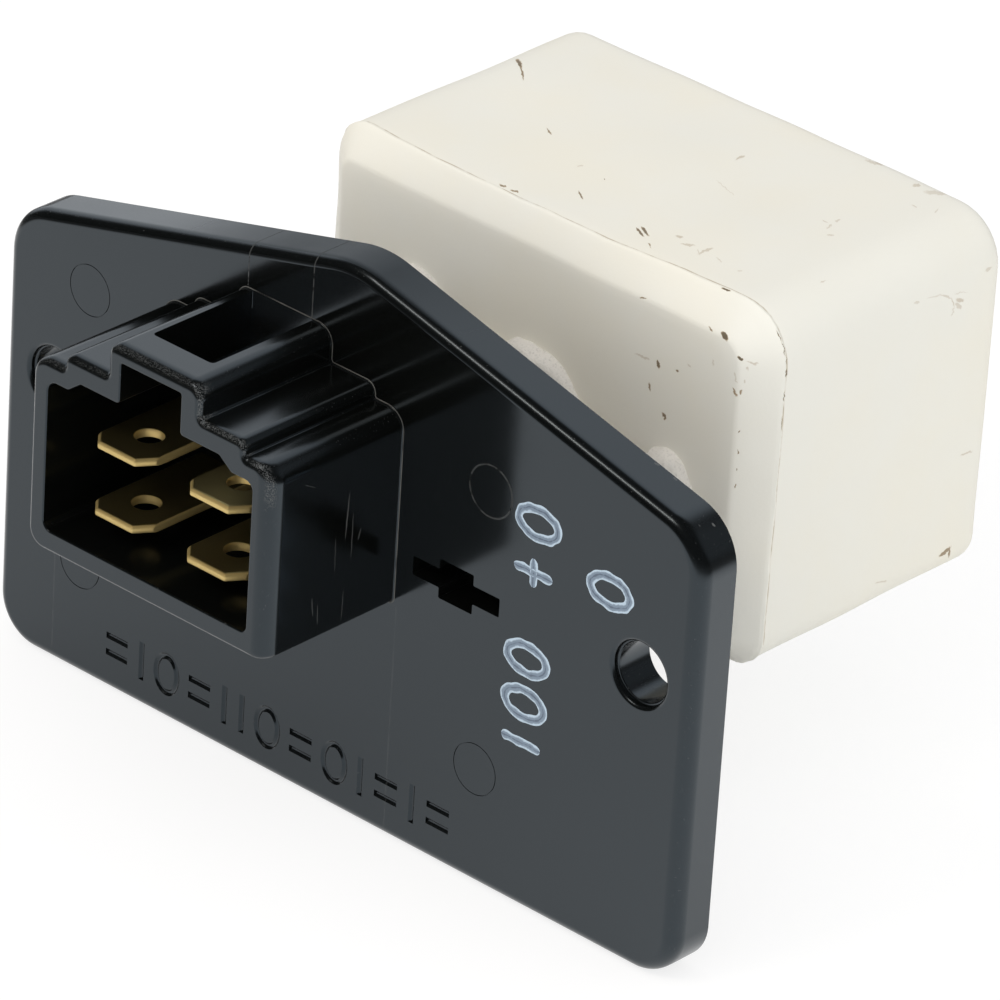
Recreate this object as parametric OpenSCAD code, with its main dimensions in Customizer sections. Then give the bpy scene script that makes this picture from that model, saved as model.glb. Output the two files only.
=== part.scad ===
// Blower motor resistor: a moulded flange with a plug socket, four brass blade terminals
// and a cast cement block that holds three resistance coils in series.
// X runs along the flange, Y from the plug side into the air duct, Z is up.
// The origin lies midway between the two screw holes, on the flange's seating face.

/* [Flange] */
// Width of the flange
flange_w = 77.3; // [74:0.1:100]
// Height of the flange below the screw holes
flange_low = 26.6; // [22:0.1:40]
// Height of the side corners above the screw holes
shoulder_h = 14.05; // [10:0.05:19]
// Height of the peak above the screw holes, before it is rounded
peak_h = 23.75; // [21:0.05:36]
// Thickness of the flange
flange_t = 4.3; // [2.5:0.1:8]
// Radius of the two lower corners
corner_r = 4.2; // [1:0.1:7]
// Radius of the two shoulders
shoulder_r = 5; // [1:0.1:7]
// Radius of the peak
peak_r = 10; // [1:0.1:16]
// Rounding of the front edge
front_round = 1; // [0.3:0.1:2]

/* [Screw holes] */
// Distance between the two screw holes
hole_spacing = 65.9; // [60:0.1:68]
// Diameter of a screw hole
hole_d = 5.2; // [4:0.1:6]
// Rounding of a screw hole's front mouth
hole_round = 0.6; // [0.1:0.05:1]

/* [Spare slot] */
// Middle of the unused terminal slot, to the right of the flange's middle
spare_x = 13.15; // [12:0.05:16]
// Middle of the unused terminal slot, above the screw holes
spare_z = -0.4; // [-8:0.1:4]
// Length of the slot
spare_w = 9.5; // [6:0.1:10.5]
// Height of the slot
spare_h = 1.7; // [0.8:0.1:2.5]
// Length of the wider middle of the slot
spare_mid_w = 3.7; // [2:0.1:5]
// Height of the wider middle of the slot
spare_mid_h = 3.6; // [2.6:0.1:5]
// Thickness of the skin that closes the slot at the flange's back
spare_skin = 0.8; // [0.5:0.1:1.5]

/* [Plug socket] */
// Middle of the socket, from the flange's middle
socket_x = -7.32; // [-8:0.01:-6.5]
// Floor of the socket, above the screw holes
socket_floor = -2.87; // [-6:0.01:-1]
// Depth of the socket in front of the flange
socket_depth = 15; // [14:0.1:22]
// Inner width of the socket
socket_w = 23.16; // [21.5:0.02:25]
// Inner height at the sides
side_room = 13.64; // [12:0.02:14]
// Inner height in the middle
middle_room = 14.68; // [14.4:0.02:15.8]
// Width of the raised middle of the ceiling
middle_w = 15.6; // [13:0.1:17]
// Width of the slope that leads up to it
slope_w = 1.4; // [0.6:0.1:2]
// Width of the latch slot
latch_w = 6.79; // [5:0.01:8]
// Height of the latch slot's top above the socket's floor
latch_room = 18.41; // [17.5:0.01:20]
// Depth of the bridge over the latch slot
bridge_depth = 3.5; // [1:0.1:6]

/* [Socket walls] */
// Left wall
wall_left = 1.52; // [1:0.02:2.5]
// Right wall
wall_right = 2.19; // [1.4:0.01:3]
// Bottom wall
wall_bottom = 1.88; // [1:0.01:3]
// Wall over the sides of the ceiling
wall_side = 1.93; // [1.2:0.01:2.2]
// Wall over the middle of the ceiling
wall_middle = 2.19; // [1.9:0.01:2.6]
// Bridge over the latch slot
wall_bridge = 1.46; // [1.2:0.01:2.5]
// Left wall of the latch slot
latch_wall_left = 1.41; // [1:0.01:2]
// Right wall of the latch slot
latch_wall_right = 2.17; // [1.4:0.01:3]
// Left end of the middle step, from the socket's middle
step_left = 9.68; // [8:0.01:11]
// Right end of the middle step, from the socket's middle
step_right = 10.5; // [8.4:0.01:11.5]

/* [Terminals] */
// Width of a blade
blade_w = 6.3; // [4.8:0.1:7]
// Thickness of the brass strip
blade_t = 0.8; // [0.5:0.1:1.2]
// Reach of a blade in front of the flange
blade_reach = 13.2; // [9:0.1:13.5]
// Hole in a blade
blade_hole_d = 2.5; // [1:0.1:3]
// Distance of that hole from the blade's tip
blade_hole_in = 3.8; // [3:0.1:5.5]
// Distance between the two columns of blades
column_pitch = 10.5; // [9.6:0.1:12]
// Distance between the two rows of blades
row_pitch = 6.16; // [5:0.01:7]
// Height of the lower row above the socket's floor
row_low = 2.54; // [1.5:0.01:4]
// Width of the stop, which sits in a pocket in the flange's back
stop_w = 8.3; // [7.4:0.1:9]
// Depth of that pocket
stop_l = 1.5; // [0.8:0.1:2]
// Width of the leg that carries the block
leg_w = 5; // [4:0.1:6]
// Depth of the leg in the block
leg_in = 8; // [5:0.1:9]

/* [Resistor block] */
// Width of the block
block_w = 49.7; // [44:0.1:60]
// Height of the block
block_h = 33; // [30:0.1:45]
// Depth of the block
block_d = 30.2; // [28:0.1:45]
// Height of the block below the screw holes
block_low = 13; // [11:0.1:18]
// Gap between the flange and the block
block_gap = 18.2; // [16:0.1:30]
// Radius of the upper right edge
edge_upper_right = 4.8; // [2.6:0.1:6]
// Radius of the upper left edge
edge_upper_left = 3.7; // [2.6:0.1:6]
// Radius of the two lower edges
edge_lower = 3.2; // [2.6:0.1:6]
// Rounding of the front face
block_front_round = 2.5; // [0.5:0.1:2.5]
// Rounding of the back face
block_back_round = 1.3; // [0.5:0.1:2.5]
// Height of the mould line where the front rounding ends
flash_h = 0.12; // [0.05:0.01:0.3]

/* [Coils] */
// Thickness of the resistance wire
wire_d = 0.9; // [0.5:0.05:1.1]
// Mean radius of the upper and lower coils
coil_r = 4; // [2.5:0.1:4.4]
// Depth of the upper and lower coils' middle in the block
coil_in = 18; // [15:0.1:20]
// Depth of the middle coil's middle in the block
middle_coil_in = 15; // [13.5:0.1:17]
// Whole turns of the upper and lower coils
coil_turns = 8; // [4:1:9]
// Whole turns of the middle coil
middle_coil_turns = 14; // [6:1:15]

/* [Thermal fuse] */
// Diameter of the fuse's can
fuse_d = 4; // [3:0.1:5]
// Length of the can
fuse_l = 9; // [6:0.1:9.6]
// Length of the resin seal at its end
fuse_seal_l = 2.2; // [1:0.1:2.6]
// Distance of the can from the lower right leg
fuse_off = 1.2; // [0.5:0.1:2]
// Distance of the fuse's middle from the block
fuse_out = 5.2; // [4:0.1:9]
// Thickness of the fuse's leads
lead_d = 1; // [0.6:0.05:1.1]
// Place where the bent lead enters the block, from the flange's middle
lead_x = 15.5; // [15:0.1:20]
// Depth of that lead in the block
lead_in = 6.4; // [5:0.1:7]
// Radius of the lead's bend
lead_bend = 1.5; // [1.2:0.1:2]
// Wall of the insulating sleeve and of the crimp sleeve
sleeve_wall = 0.4; // [0.2:0.05:0.6]
// Length of the crimp sleeve
crimp_l = 5; // [3:0.1:6]

/* [Sealing cement] */
// How far the cement stands out from the block
dab_out = 2.2; // [1:0.1:4]
// Width of the left dab
dab_left_w = 9.4; // [7:0.1:12]
// Height of the left dab
dab_left_h = 15.4; // [11:0.1:18]
// Middle of the left dab, to the left of its legs
dab_left_off = 0.2; // [0:0.1:2]
// Middle of the left dab, above the middle of its legs
dab_left_up = 0.9; // [0:0.1:2]
// Width of the middle dab
dab_middle_w = 13.4; // [10:0.1:16]
// Height of the middle dab
dab_middle_h = 13.6; // [11:0.1:18]
// Middle of the middle dab, to the right of its legs
dab_middle_off = 1.9; // [0:0.1:3]
// Width of the dab round the fuse's lead
dab_right_w = 5.6; // [4:0.1:8]
// Height of the dab round the fuse's lead
dab_right_h = 7.2; // [4:0.1:10]
// Middle of that dab, above the lead
dab_right_off = 0.6; // [0:0.1:2]

/* [Hidden] */

// Clearance round a strip, lead or sleeve that is cast or moulded in
fit = 0.05;
// Clearance round a coil in the cement
coil_fit = 0.15;
// Gap left where a round wire lies on a flat leg
lie = 0.02;
// Smallest radius that a corner keeps as its edges move in
least_r = 0.3;
// Steps of a rounded corner, of a rounded edge and of one turn of a coil
corner_steps = 6;
edge_steps = 5;
turn_steps = 12;
over = 1;

mouth_y = -flange_t - socket_depth;
tip_y = -flange_t - blade_reach;
block_front = block_gap;
block_back = block_gap + block_d;
block_top = block_h - block_low;
leg_end = block_front + leg_in;

column_left = socket_x - column_pitch / 2;
column_right = socket_x + column_pitch / 2;
row_lower = socket_floor + row_low;
row_upper = row_lower + row_pitch;

// Heights at which a round wire lies on a leg
on_leg = blade_t / 2 + lie;
upper_tail_z = row_upper + on_leg + wire_d / 2;
under_tail_z = row_upper - on_leg - wire_d / 2;
lower_tail_z = row_lower - on_leg - wire_d / 2;
fuse_z = row_lower + on_leg + lead_d / 2;
fuse_y = block_front - fuse_out;
fuse_left = column_right + leg_w / 2 + fuse_off;
fuse_right = fuse_left + fuse_l;
middle_coil_r = (under_tail_z - fuse_z) / 2;
middle_coil_z = fuse_z + middle_coil_r;
coil_y = block_front + coil_in;
middle_coil_y = block_front + middle_coil_in;
tail_start = block_front + 2;
crimp_start = block_front + lead_in - crimp_l / 2;
tail_bend = 0.7;

function unit(v) = v / norm(v);
function around(list, i) = list[(i + len(list)) % len(list)];
function flat(p) = [p[0], p[1]];
function edge_dir(corners, i) = unit(flat(around(corners, i + 1)) - flat(around(corners, i)));
function same(value, count) = [for (i = [1:count]) value];
function at_y(outline, y) = [for (p = outline) [p[0], y, p[1]]];

// Corners are [x, z, radius], listed anticlockwise as seen from the plug side.
// Edge i runs from corner i to the next one, and moves inward by moves[i].
function moved_in(corners, moves) = [
    for (i = [0:len(corners) - 1])
        let (
            u = edge_dir(corners, i - 1),
            v = edge_dir(corners, i),
            a = around(moves, i - 1),
            b = moves[i],
            turn = cross(u, v)
        )
        [
            corners[i][0] + (a * v[0] - b * u[0]) / turn,
            corners[i][1] + (a * v[1] - b * u[1]) / turn,
            max(corners[i][2] - sign(turn) * (a + b) / 2, least_r)
        ]
];

// The outline through those corners, each rounded by an arc
function rounded(corners, steps) = [
    for (i = [0:len(corners) - 1])
        let (
            u = edge_dir(corners, i - 1),
            turn = atan2(cross(u, edge_dir(corners, i)), u * edge_dir(corners, i)),
            side = sign(turn),
            r = corners[i][2],
            start = flat(corners[i]) - u * r * tan(abs(turn) / 2),
            centre = start + side * r * [-u[1], u[0]],
            w = start - centre
        )
        for (k = [0:steps])
            let (a = turn * k / steps)
            centre + [w[0] * cos(a) - w[1] * sin(a), w[0] * sin(a) + w[1] * cos(a)]
];

// The middle of the box round a ring of points
function middle(ring) = [
    for (axis = [0:2])
        let (places = [for (p = ring) p[axis]])
        (min(places) + max(places)) / 2
];

// How far a rounded edge of radius r lies inside the wall, at a depth below the face
function round_in(r, depth) = depth >= r ? 0 : r - sqrt(r * r - (r - depth) * (r - depth));

// A solid skinned over rings of equally many points, each ring right-handed about the way it runs.
// Each end is closed by triangles round its middle, from where the whole ring must be in sight.
module skin(rings) {
    n = len(rings);
    m = len(rings[0]);
    polyhedron(
        points = concat([for (ring = rings) for (p = ring) p], [middle(rings[0]), middle(rings[n - 1])]),
        faces = [
            for (i = [0:m - 1])
                let (j = (i + 1) % m, last = (n - 1) * m)
                each [
                    [i, j, n * m],
                    for (k = [0:n - 2]) [k * m + i, (k + 1) * m + i, (k + 1) * m + j, k * m + j],
                    [last + j, last + i, n * m + 1]
                ]
        ],
        convexity = 10
    );
}

// A straight piece of an outline between two depths
module slab(outline, y_front, y_back) {
    translate([0, y_back, 0])
        rotate([90, 0, 0])
            linear_extrude(y_back - y_front)
                polygon(outline);
}

// A box given by its lowest and highest corners
module block_between(low, high) {
    translate(low)
        cube(high - low);
}

// A round wire along a path, its sides turned so that one of them follows the vector ref
module wire(path, d, sides, ref) {
    n = len(path);
    skin([
        for (i = [0:n - 1])
            let (
                t = unit(path[min(i + 1, n - 1)] - path[max(i - 1, 0)]),
                u = unit(ref - (ref * t) * t),
                v = cross(t, u)
            )
            [
                for (k = [0:sides - 1])
                    let (a = 360 * k / sides)
                    path[i] + d / 2 * (cos(a) * u + sin(a) * v)
            ]
    ]);
}

// Flange and socket, one moulding

flange_corners = [
    [-flange_w / 2, -flange_low, corner_r],
    [flange_w / 2, -flange_low, corner_r],
    [flange_w / 2, shoulder_h, shoulder_r],
    [0, peak_h, peak_r],
    [-flange_w / 2, shoulder_h, shoulder_r]
];

outer_left = socket_x - socket_w / 2 - wall_left;
outer_right = socket_x + socket_w / 2 + wall_right;
outer_bottom = socket_floor - wall_bottom;
level_side = socket_floor + side_room + wall_side;
level_middle = socket_floor + middle_room + wall_middle;
level_bridge = socket_floor + latch_room + wall_bridge;
latch_left = socket_x - latch_w / 2 - latch_wall_left;
latch_right = socket_x + latch_w / 2 + latch_wall_right;
step_h = level_middle - level_side;
step_r = min(1, 0.7 * step_h);
inner_r = min(0.25, 0.2 * step_h);

socket_corners = [
    [outer_left, outer_bottom, 1.6],
    [outer_right, outer_bottom, 0.5],
    [outer_right, level_side, 1.8],
    [socket_x + step_right, level_side, inner_r],
    [socket_x + step_right, level_middle, step_r],
    [latch_right, level_middle, 0.4],
    [latch_right, level_bridge, 1.5],
    [latch_left, level_bridge, 1],
    [latch_left, level_middle, 0.3],
    [socket_x - step_left, level_middle, step_r],
    [socket_x - step_left, level_side, inner_r],
    [outer_left, level_side, 1.7]
];

// Rounding of the mouth's rim along each of those edges
rim_right = 0.73 * wall_right;
rim_bridge = 0.65 * wall_bridge;
rim_rounds = [0.35, rim_right, 0.8, 0.5, 0.7, 0.65, rim_bridge, 0.5, 0.8, 0.5, 0.8, 0.35];
rim_steps = 7;

ceiling_side = socket_floor + side_room;
ceiling_middle = socket_floor + middle_room;
ceiling_latch = socket_floor + latch_room;

cavity_corners = [
    [socket_x - socket_w / 2, socket_floor, 1],
    [socket_x + socket_w / 2, socket_floor, 0.6],
    [socket_x + socket_w / 2, ceiling_side, 0.8],
    [socket_x + middle_w / 2 + slope_w, ceiling_side, 0.5],
    [socket_x + middle_w / 2, ceiling_middle, 0.5],
    [socket_x + latch_w / 2, ceiling_middle, 0.4],
    [socket_x + latch_w / 2, ceiling_latch, 0.2],
    [socket_x - latch_w / 2, ceiling_latch, 0.2],
    [socket_x - latch_w / 2, ceiling_middle, 0.4],
    [socket_x - middle_w / 2, ceiling_middle, 0.5],
    [socket_x - middle_w / 2 - slope_w, ceiling_side, 0.5],
    [socket_x - socket_w / 2, ceiling_side, 1]
];

module flange_plate() {
    outline = rounded(flange_corners, corner_steps);
    slab(outline, front_round - flange_t, 0);
    skin([
        for (k = [0:edge_steps])
            let (a = 90 * k / edge_steps, inset = front_round * (1 - cos(a)))
            at_y(
                rounded(moved_in(flange_corners, same(inset, 5)), corner_steps),
                front_round - flange_t - front_round * sin(a)
            )
    ]);
}

module socket_body() {
    rim = max(rim_rounds);
    skin(concat(
        [at_y(rounded(socket_corners, corner_steps), -flange_t / 2)],
        [
            for (k = [0:rim_steps])
                let (
                    depth = rim * (1 - sin(90 * k / rim_steps)),
                    moves = [for (r = rim_rounds) round_in(r, depth)]
                )
                at_y(rounded(moved_in(socket_corners, moves), corner_steps), mouth_y + depth)
        ]
    ));
}

module screw_hole(x) {
    translate([x, over, 0])
        rotate([90, 0, 0])
            cylinder(d = hole_d, h = flange_t + 2 * over, $fn = 64);
    translate([x, -flange_t, 0])
        rotate([90, 0, 0])
            rotate_extrude($fn = 64)
                difference() {
                    translate([0, -hole_round])
                        square([hole_d / 2 + hole_round, hole_round + over]);
                    translate([hole_d / 2 + hole_round, -hole_round])
                        circle(r = hole_round, $fn = 32);
                }
}

module terminal_slots(width, thickness, y_front, y_back) {
    for (x = [column_left, column_right])
        for (z = [row_lower, row_upper])
            block_between(
                [x - width / 2 - fit, y_front, z - thickness / 2 - fit],
                [x + width / 2 + fit, y_back, z + thickness / 2 + fit]
            );
}

module spare_slot() {
    for (size = [[spare_w, spare_h], [spare_mid_w, spare_mid_h]])
        block_between(
            [spare_x - size[0] / 2, -flange_t - over, spare_z - size[1] / 2],
            [spare_x + size[0] / 2, -spare_skin, spare_z + size[1] / 2]
        );
}

module flange() {
    color("#1b1c1d")
        difference() {
            union() {
                flange_plate();
                socket_body();
            }
            slab(rounded(cavity_corners, 4), mouth_y - over, -flange_t);
            block_between(
                [socket_x - latch_w / 2, mouth_y + bridge_depth, ceiling_middle],
                [socket_x + latch_w / 2, -flange_t, level_bridge + over]
            );
            terminal_slots(blade_w, blade_t, -flange_t - over, over);
            terminal_slots(stop_w, blade_t, -stop_l, over);
            spare_slot();
            screw_hole(-hole_spacing / 2);
            screw_hole(hole_spacing / 2);
        }
}

// Terminals: one stamped strip each, from the blade's tip to the leg's end in the block

// The tip's corners are cut off, the right one further back than the left one
tip_w = 4.2;
tip_left = 1.1;
tip_right = 1.5;
tip_bevel_t = 0.15;
tip_bevel_l = 0.4;

module terminal(x, z) {
    half = blade_w / 2;
    color("#c9a04a")
        difference() {
            translate([x, 0, z])
                intersection() {
                    linear_extrude(blade_t, center = true)
                        polygon([
                            [-tip_w / 2, tip_y],
                            [tip_w / 2, tip_y],
                            [half, tip_y + tip_right],
                            [half, -stop_l],
                            [stop_w / 2, -stop_l],
                            [stop_w / 2, 0],
                            [leg_w / 2, 0],
                            [leg_w / 2, leg_end],
                            [-leg_w / 2, leg_end],
                            [-leg_w / 2, 0],
                            [-stop_w / 2, 0],
                            [-stop_w / 2, -stop_l],
                            [-half, -stop_l],
                            [-half, tip_y + tip_left]
                        ]);
                    rotate([90, 0, 90])
                        linear_extrude(stop_w + 2 * over, center = true)
                            polygon([
                                [tip_y, tip_bevel_t - blade_t / 2],
                                [tip_y + tip_bevel_l, -blade_t / 2],
                                [leg_end, -blade_t / 2],
                                [leg_end, blade_t / 2],
                                [tip_y + tip_bevel_l, blade_t / 2],
                                [tip_y, blade_t / 2 - tip_bevel_t]
                            ]);
                }
            translate([x, tip_y + blade_hole_in, z])
                cylinder(d = blade_hole_d, h = 2 * blade_t, center = true, $fn = 48);
        }
}

// Resistor block: one casting, with room for the legs, the coils and the fuse's lead

block_corners = [
    [-block_w / 2, -block_low, edge_lower],
    [block_w / 2, -block_low, edge_lower],
    [block_w / 2, block_top, edge_upper_right],
    [-block_w / 2, block_top, edge_upper_left]
];

flash_y = block_front + block_front_round;
flash_w = 0.3;

function block_ring(inset, y) = at_y(rounded(moved_in(block_corners, same(inset, 4)), 7), y);

module block_body() {
    skin(concat(
        [
            for (k = [0:4])
                let (a = 90 * k / 4)
                block_ring(block_back_round * (1 - sin(a)), block_back - block_back_round * (1 - cos(a)))
        ],
        [
            block_ring(0, flash_y + flash_w),
            block_ring(-flash_h, flash_y + flash_w / 2),
            block_ring(0, flash_y)
        ],
        [
            for (k = [1:6])
                let (a = 90 * k / 6)
                block_ring(block_front_round * (1 - cos(a)), flash_y - block_front_round * sin(a))
        ]
    ));
}

// A square channel for a wire that runs along Y
module tail_channel(x, z, y_front, y_back) {
    half = wire_d / 2 + coil_fit + fit;
    block_between([x - half, y_front, z - half], [x + half, y_back, z + half]);
}

// A square channel for the stretch of wire that runs along Z in front of a coil
module drop_channel(x, z_a, z_b) {
    half = wire_d / 2 + coil_fit + fit;
    y = coil_y - coil_r;
    block_between([x - half, y - half, min(z_a, z_b)], [x + half, y + half, max(z_a, z_b)]);
}

// The ring-shaped room of a coil, whose middle stays solid cement
module coil_room(x_left, x_right, y, z, r) {
    half = wire_d / 2 + coil_fit;
    translate([x_left - half, y, z])
        rotate([0, 90, 0])
            difference() {
                cylinder(r = r + half, h = x_right - x_left + 2 * half, $fn = 64);
                translate([0, 0, -over])
                    cylinder(r = r - half, h = x_right - x_left + 2 * half + 2 * over, $fn = 64);
            }
}

module resistor_block() {
    half = wire_d / 2 + coil_fit + fit;
    color("#e9e5d6")
        difference() {
            block_body();
            terminal_slots(leg_w, blade_t, block_front - over, leg_end + fit);
            coil_room(column_left, column_right, coil_y, upper_tail_z + coil_r, coil_r);
            tail_channel(column_left, upper_tail_z, tail_start - fit, coil_y);
            tail_channel(column_right, upper_tail_z, tail_start - fit, coil_y - coil_r + half);
            drop_channel(column_right, upper_tail_z - half, upper_tail_z + coil_r);
            coil_room(column_left, column_right, coil_y, lower_tail_z - coil_r, coil_r);
            tail_channel(column_left, lower_tail_z, tail_start - fit, coil_y);
            tail_channel(column_right, lower_tail_z, tail_start - fit, coil_y - coil_r + half);
            drop_channel(column_right, lower_tail_z + half, lower_tail_z - coil_r);
            coil_room(column_right, lead_x, middle_coil_y, middle_coil_z, middle_coil_r);
            tail_channel(column_right, under_tail_z, tail_start - fit, middle_coil_y);
            tail_channel(lead_x, fuse_z, block_front - over, middle_coil_y);
            translate([lead_x, crimp_start - fit, fuse_z])
                rotate([-90, 0, 0])
                    cylinder(d = lead_d + 2 * sleeve_wall + 4 * fit, h = crimp_l + 2 * fit, $fn = 32);
        }
}

// Coils: close helices about X, with straight tails that lie on the legs.
// way is 1 where the wire passes under the coil's middle going back, and -1 where it passes over.

function turns_path(x_left, x_right, y, z, r, way, turns) = [
    for (k = [0:round(turns * turn_steps)])
        let (a = 360 * k / turn_steps)
        [
            x_left + (x_right - x_left) * k / round(turns * turn_steps),
            y + r * sin(a),
            z - way * r * cos(a)
        ]
];

module side_coil(tail_z, way) {
    z = tail_z + way * coil_r;
    y = coil_y - coil_r;
    color("#8f8a82")
        wire(
            concat(
                [[column_left, tail_start, tail_z]],
                turns_path(column_left, column_right, coil_y, z, coil_r, way, coil_turns + 0.75),
                [
                    for (k = [0:4])
                        let (a = 90 * k / 4)
                        [
                            column_right,
                            y - tail_bend * (1 - cos(a)),
                            tail_z + way * tail_bend * (1 - sin(a))
                        ]
                ],
                [[column_right, tail_start, tail_z]]
            ),
            wire_d, 6, [1, 0, 0]
        );
}

module coil_upper() {
    side_coil(upper_tail_z, 1);
}

module coil_lower() {
    side_coil(lower_tail_z, -1);
}

module coil_middle() {
    color("#8f8a82")
        wire(
            concat(
                [[column_right, tail_start, under_tail_z]],
                turns_path(
                    column_right, lead_x, middle_coil_y, middle_coil_z,
                    middle_coil_r, -1, middle_coil_turns + 0.5
                ),
                [[lead_x, block_front + lead_in + fit, fuse_z]]
            ),
            wire_d, 6, [1, 0, 0]
        );
}

// Thermal fuse in front of the block: a sealed can with a lead at each end

module along_x(x_left, x_right, d) {
    translate([x_left, fuse_y, fuse_z])
        rotate([0, 90, 0])
            cylinder(d = d, h = x_right - x_left, $fn = 48);
}

module fuse_can() {
    color("#b8b4a8")
        translate([fuse_left, fuse_y, fuse_z])
            rotate([0, 90, 0])
                rotate_extrude($fn = 48)
                    polygon([
                        [0, 0],
                        [fuse_d / 2 - 0.4, 0],
                        [fuse_d / 2 - 0.1, 0.12],
                        [fuse_d / 2, 0.4],
                        [fuse_d / 2, fuse_l - 0.5],
                        [fuse_d / 2 - 0.3, fuse_l],
                        [0, fuse_l]
                    ]);
}

module fuse_seal() {
    color("#8d3b2a")
        difference() {
            translate([fuse_right, fuse_y, fuse_z])
                rotate([0, 90, 0])
                    rotate_extrude($fn = 48)
                        polygon([
                            [0, 0],
                            [fuse_d / 2 - 0.35, 0],
                            [fuse_d / 2 - 0.45, 0.3 * fuse_seal_l],
                            [fuse_d / 2 - 0.8, 0.65 * fuse_seal_l],
                            [lead_d / 2 + 0.3, fuse_seal_l],
                            [0, fuse_seal_l]
                        ]);
            along_x(fuse_right - over, fuse_right + fuse_seal_l + over, lead_d + 2 * fit);
        }
}

module fuse_lead_case() {
    color("#c3beb4")
        along_x(column_right - leg_w / 4, fuse_left, lead_d);
}

// The bent lead runs along X to its bend and then along Y into the block
function bent_path(x_start, y_end) = concat(
    [[x_start, fuse_y, fuse_z]],
    [
        for (k = [0:8])
            let (a = 90 * k / 8)
            [lead_x - lead_bend * (1 - sin(a)), fuse_y + lead_bend * (1 - cos(a)), fuse_z]
    ],
    [[lead_x, y_end, fuse_z]]
);

module fuse_lead_bent() {
    color("#c3beb4")
        wire(bent_path(fuse_right, block_front + lead_in - fit), lead_d, 12, [0, 0, 1]);
}

sleeve_start = fuse_right + fuse_seal_l + 0.2;
sleeve_end = block_front - dab_out - 0.2;

module lead_sleeve() {
    color("#d8d2bd")
        difference() {
            wire(bent_path(sleeve_start, sleeve_end), lead_d + 2 * sleeve_wall + 2 * fit, 16, [0, 0, 1]);
            wire(bent_path(sleeve_start - over, sleeve_end + over), lead_d + 2 * fit, 12, [0, 0, 1]);
        }
}

module crimp_sleeve() {
    color("#b9b9b4")
        translate([lead_x, crimp_start, fuse_z])
            rotate([-90, 0, 0])
                difference() {
                    cylinder(d = lead_d + 2 * sleeve_wall + 2 * fit, h = crimp_l, $fn = 48);
                    translate([0, 0, -over])
                        cylinder(d = lead_d + 2 * fit, h = crimp_l + 2 * over, $fn = 48);
                }
}

// Sealing cement round the legs where they enter the block

// One dab: a low dome on the block's face whose outline swells and dips round it.
// squareness above 0 pushes its outline towards a rounded box.
function dab_rings(x, z, w, h, seed, squareness) = [
    for (k = [0:5])
        let (a = 86 * k / 5)
        [
            for (i = [0:27])
                let (
                    b = 360 * i / 28,
                    swell = 1 + 0.06 * sin(3 * b + seed) + 0.04 * sin(5 * b + 2 * seed)
                        - squareness * cos(4 * b)
                )
                [
                    x + w / 2 * swell * cos(a) * cos(b),
                    block_front - dab_out * sin(a),
                    z + h / 2 * swell * cos(a) * sin(b)
                ]
        ]
];

module dab(x, z, w, h, seed, squareness) {
    skin(dab_rings(x, z, w, h, seed, squareness));
}

dab_colour = "#dedad2";
row_middle = row_lower + row_pitch / 2;

module cement_left() {
    color(dab_colour)
        difference() {
            dab(column_left - dab_left_off, row_middle + dab_left_up, dab_left_w, dab_left_h, 40, 0.05);
            terminal_slots(leg_w, blade_t, block_front - dab_out - over, block_front + over);
        }
}

module cement_middle() {
    color(dab_colour)
        difference() {
            dab(column_right + dab_middle_off, row_middle, dab_middle_w, dab_middle_h, 75, 0.06);
            terminal_slots(leg_w, blade_t, block_front - dab_out - over, block_front + over);
        }
}

module cement_right() {
    color(dab_colour)
        difference() {
            dab(lead_x, fuse_z + dab_right_off, dab_right_w, dab_right_h, 130, 0.03);
            translate([lead_x, block_front - dab_out - over, fuse_z])
                rotate([-90, 0, 0])
                    cylinder(d = lead_d + 2 * fit, h = dab_out + 2 * over, $fn = 32);
        }
}

flange();
terminal(column_left, row_upper);  // terminal_upper_left
terminal(column_right, row_upper);  // terminal_upper_right
terminal(column_left, row_lower);  // terminal_lower_left
terminal(column_right, row_lower);  // terminal_lower_right
resistor_block();
coil_upper();
coil_middle();
coil_lower();
fuse_can();
fuse_seal();
fuse_lead_case();
fuse_lead_bent();
lead_sleeve();
crimp_sleeve();
cement_left();
cement_middle();
cement_right();
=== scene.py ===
"""Looks and stage of the blower motor resistor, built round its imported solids.

Shapes are worked out in millimetres in the part's own frame: X runs along the flange, Y out of its
seating face and Z up, and the origin lies midway between the two screw holes.
"""

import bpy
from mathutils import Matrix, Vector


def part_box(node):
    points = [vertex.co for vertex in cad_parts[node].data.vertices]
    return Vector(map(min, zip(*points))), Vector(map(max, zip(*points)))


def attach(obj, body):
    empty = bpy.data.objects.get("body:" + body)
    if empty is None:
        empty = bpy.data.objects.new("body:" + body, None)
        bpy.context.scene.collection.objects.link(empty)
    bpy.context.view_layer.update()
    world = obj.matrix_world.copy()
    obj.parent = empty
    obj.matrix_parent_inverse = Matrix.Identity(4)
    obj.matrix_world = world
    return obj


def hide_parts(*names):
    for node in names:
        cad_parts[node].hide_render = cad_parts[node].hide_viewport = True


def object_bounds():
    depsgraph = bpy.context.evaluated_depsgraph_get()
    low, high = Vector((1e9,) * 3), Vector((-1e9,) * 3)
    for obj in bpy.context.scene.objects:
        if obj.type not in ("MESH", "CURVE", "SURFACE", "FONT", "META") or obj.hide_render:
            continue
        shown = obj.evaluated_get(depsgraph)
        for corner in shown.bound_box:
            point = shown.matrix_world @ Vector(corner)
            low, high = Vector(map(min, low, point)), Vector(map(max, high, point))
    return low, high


bl_info = {
    "name": "Blower motor resistor",
    "version": (1, 0, 0),
    "blender": (4, 5, 0),
    "location": "3D View > Sidebar > Resistor",
    "description": "Dresses the packed blower motor resistor and sets its stage",
    "category": "Object",
}

from types import SimpleNamespace

import bmesh
import bpy
import numpy as np
from mathutils import Matrix

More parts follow.
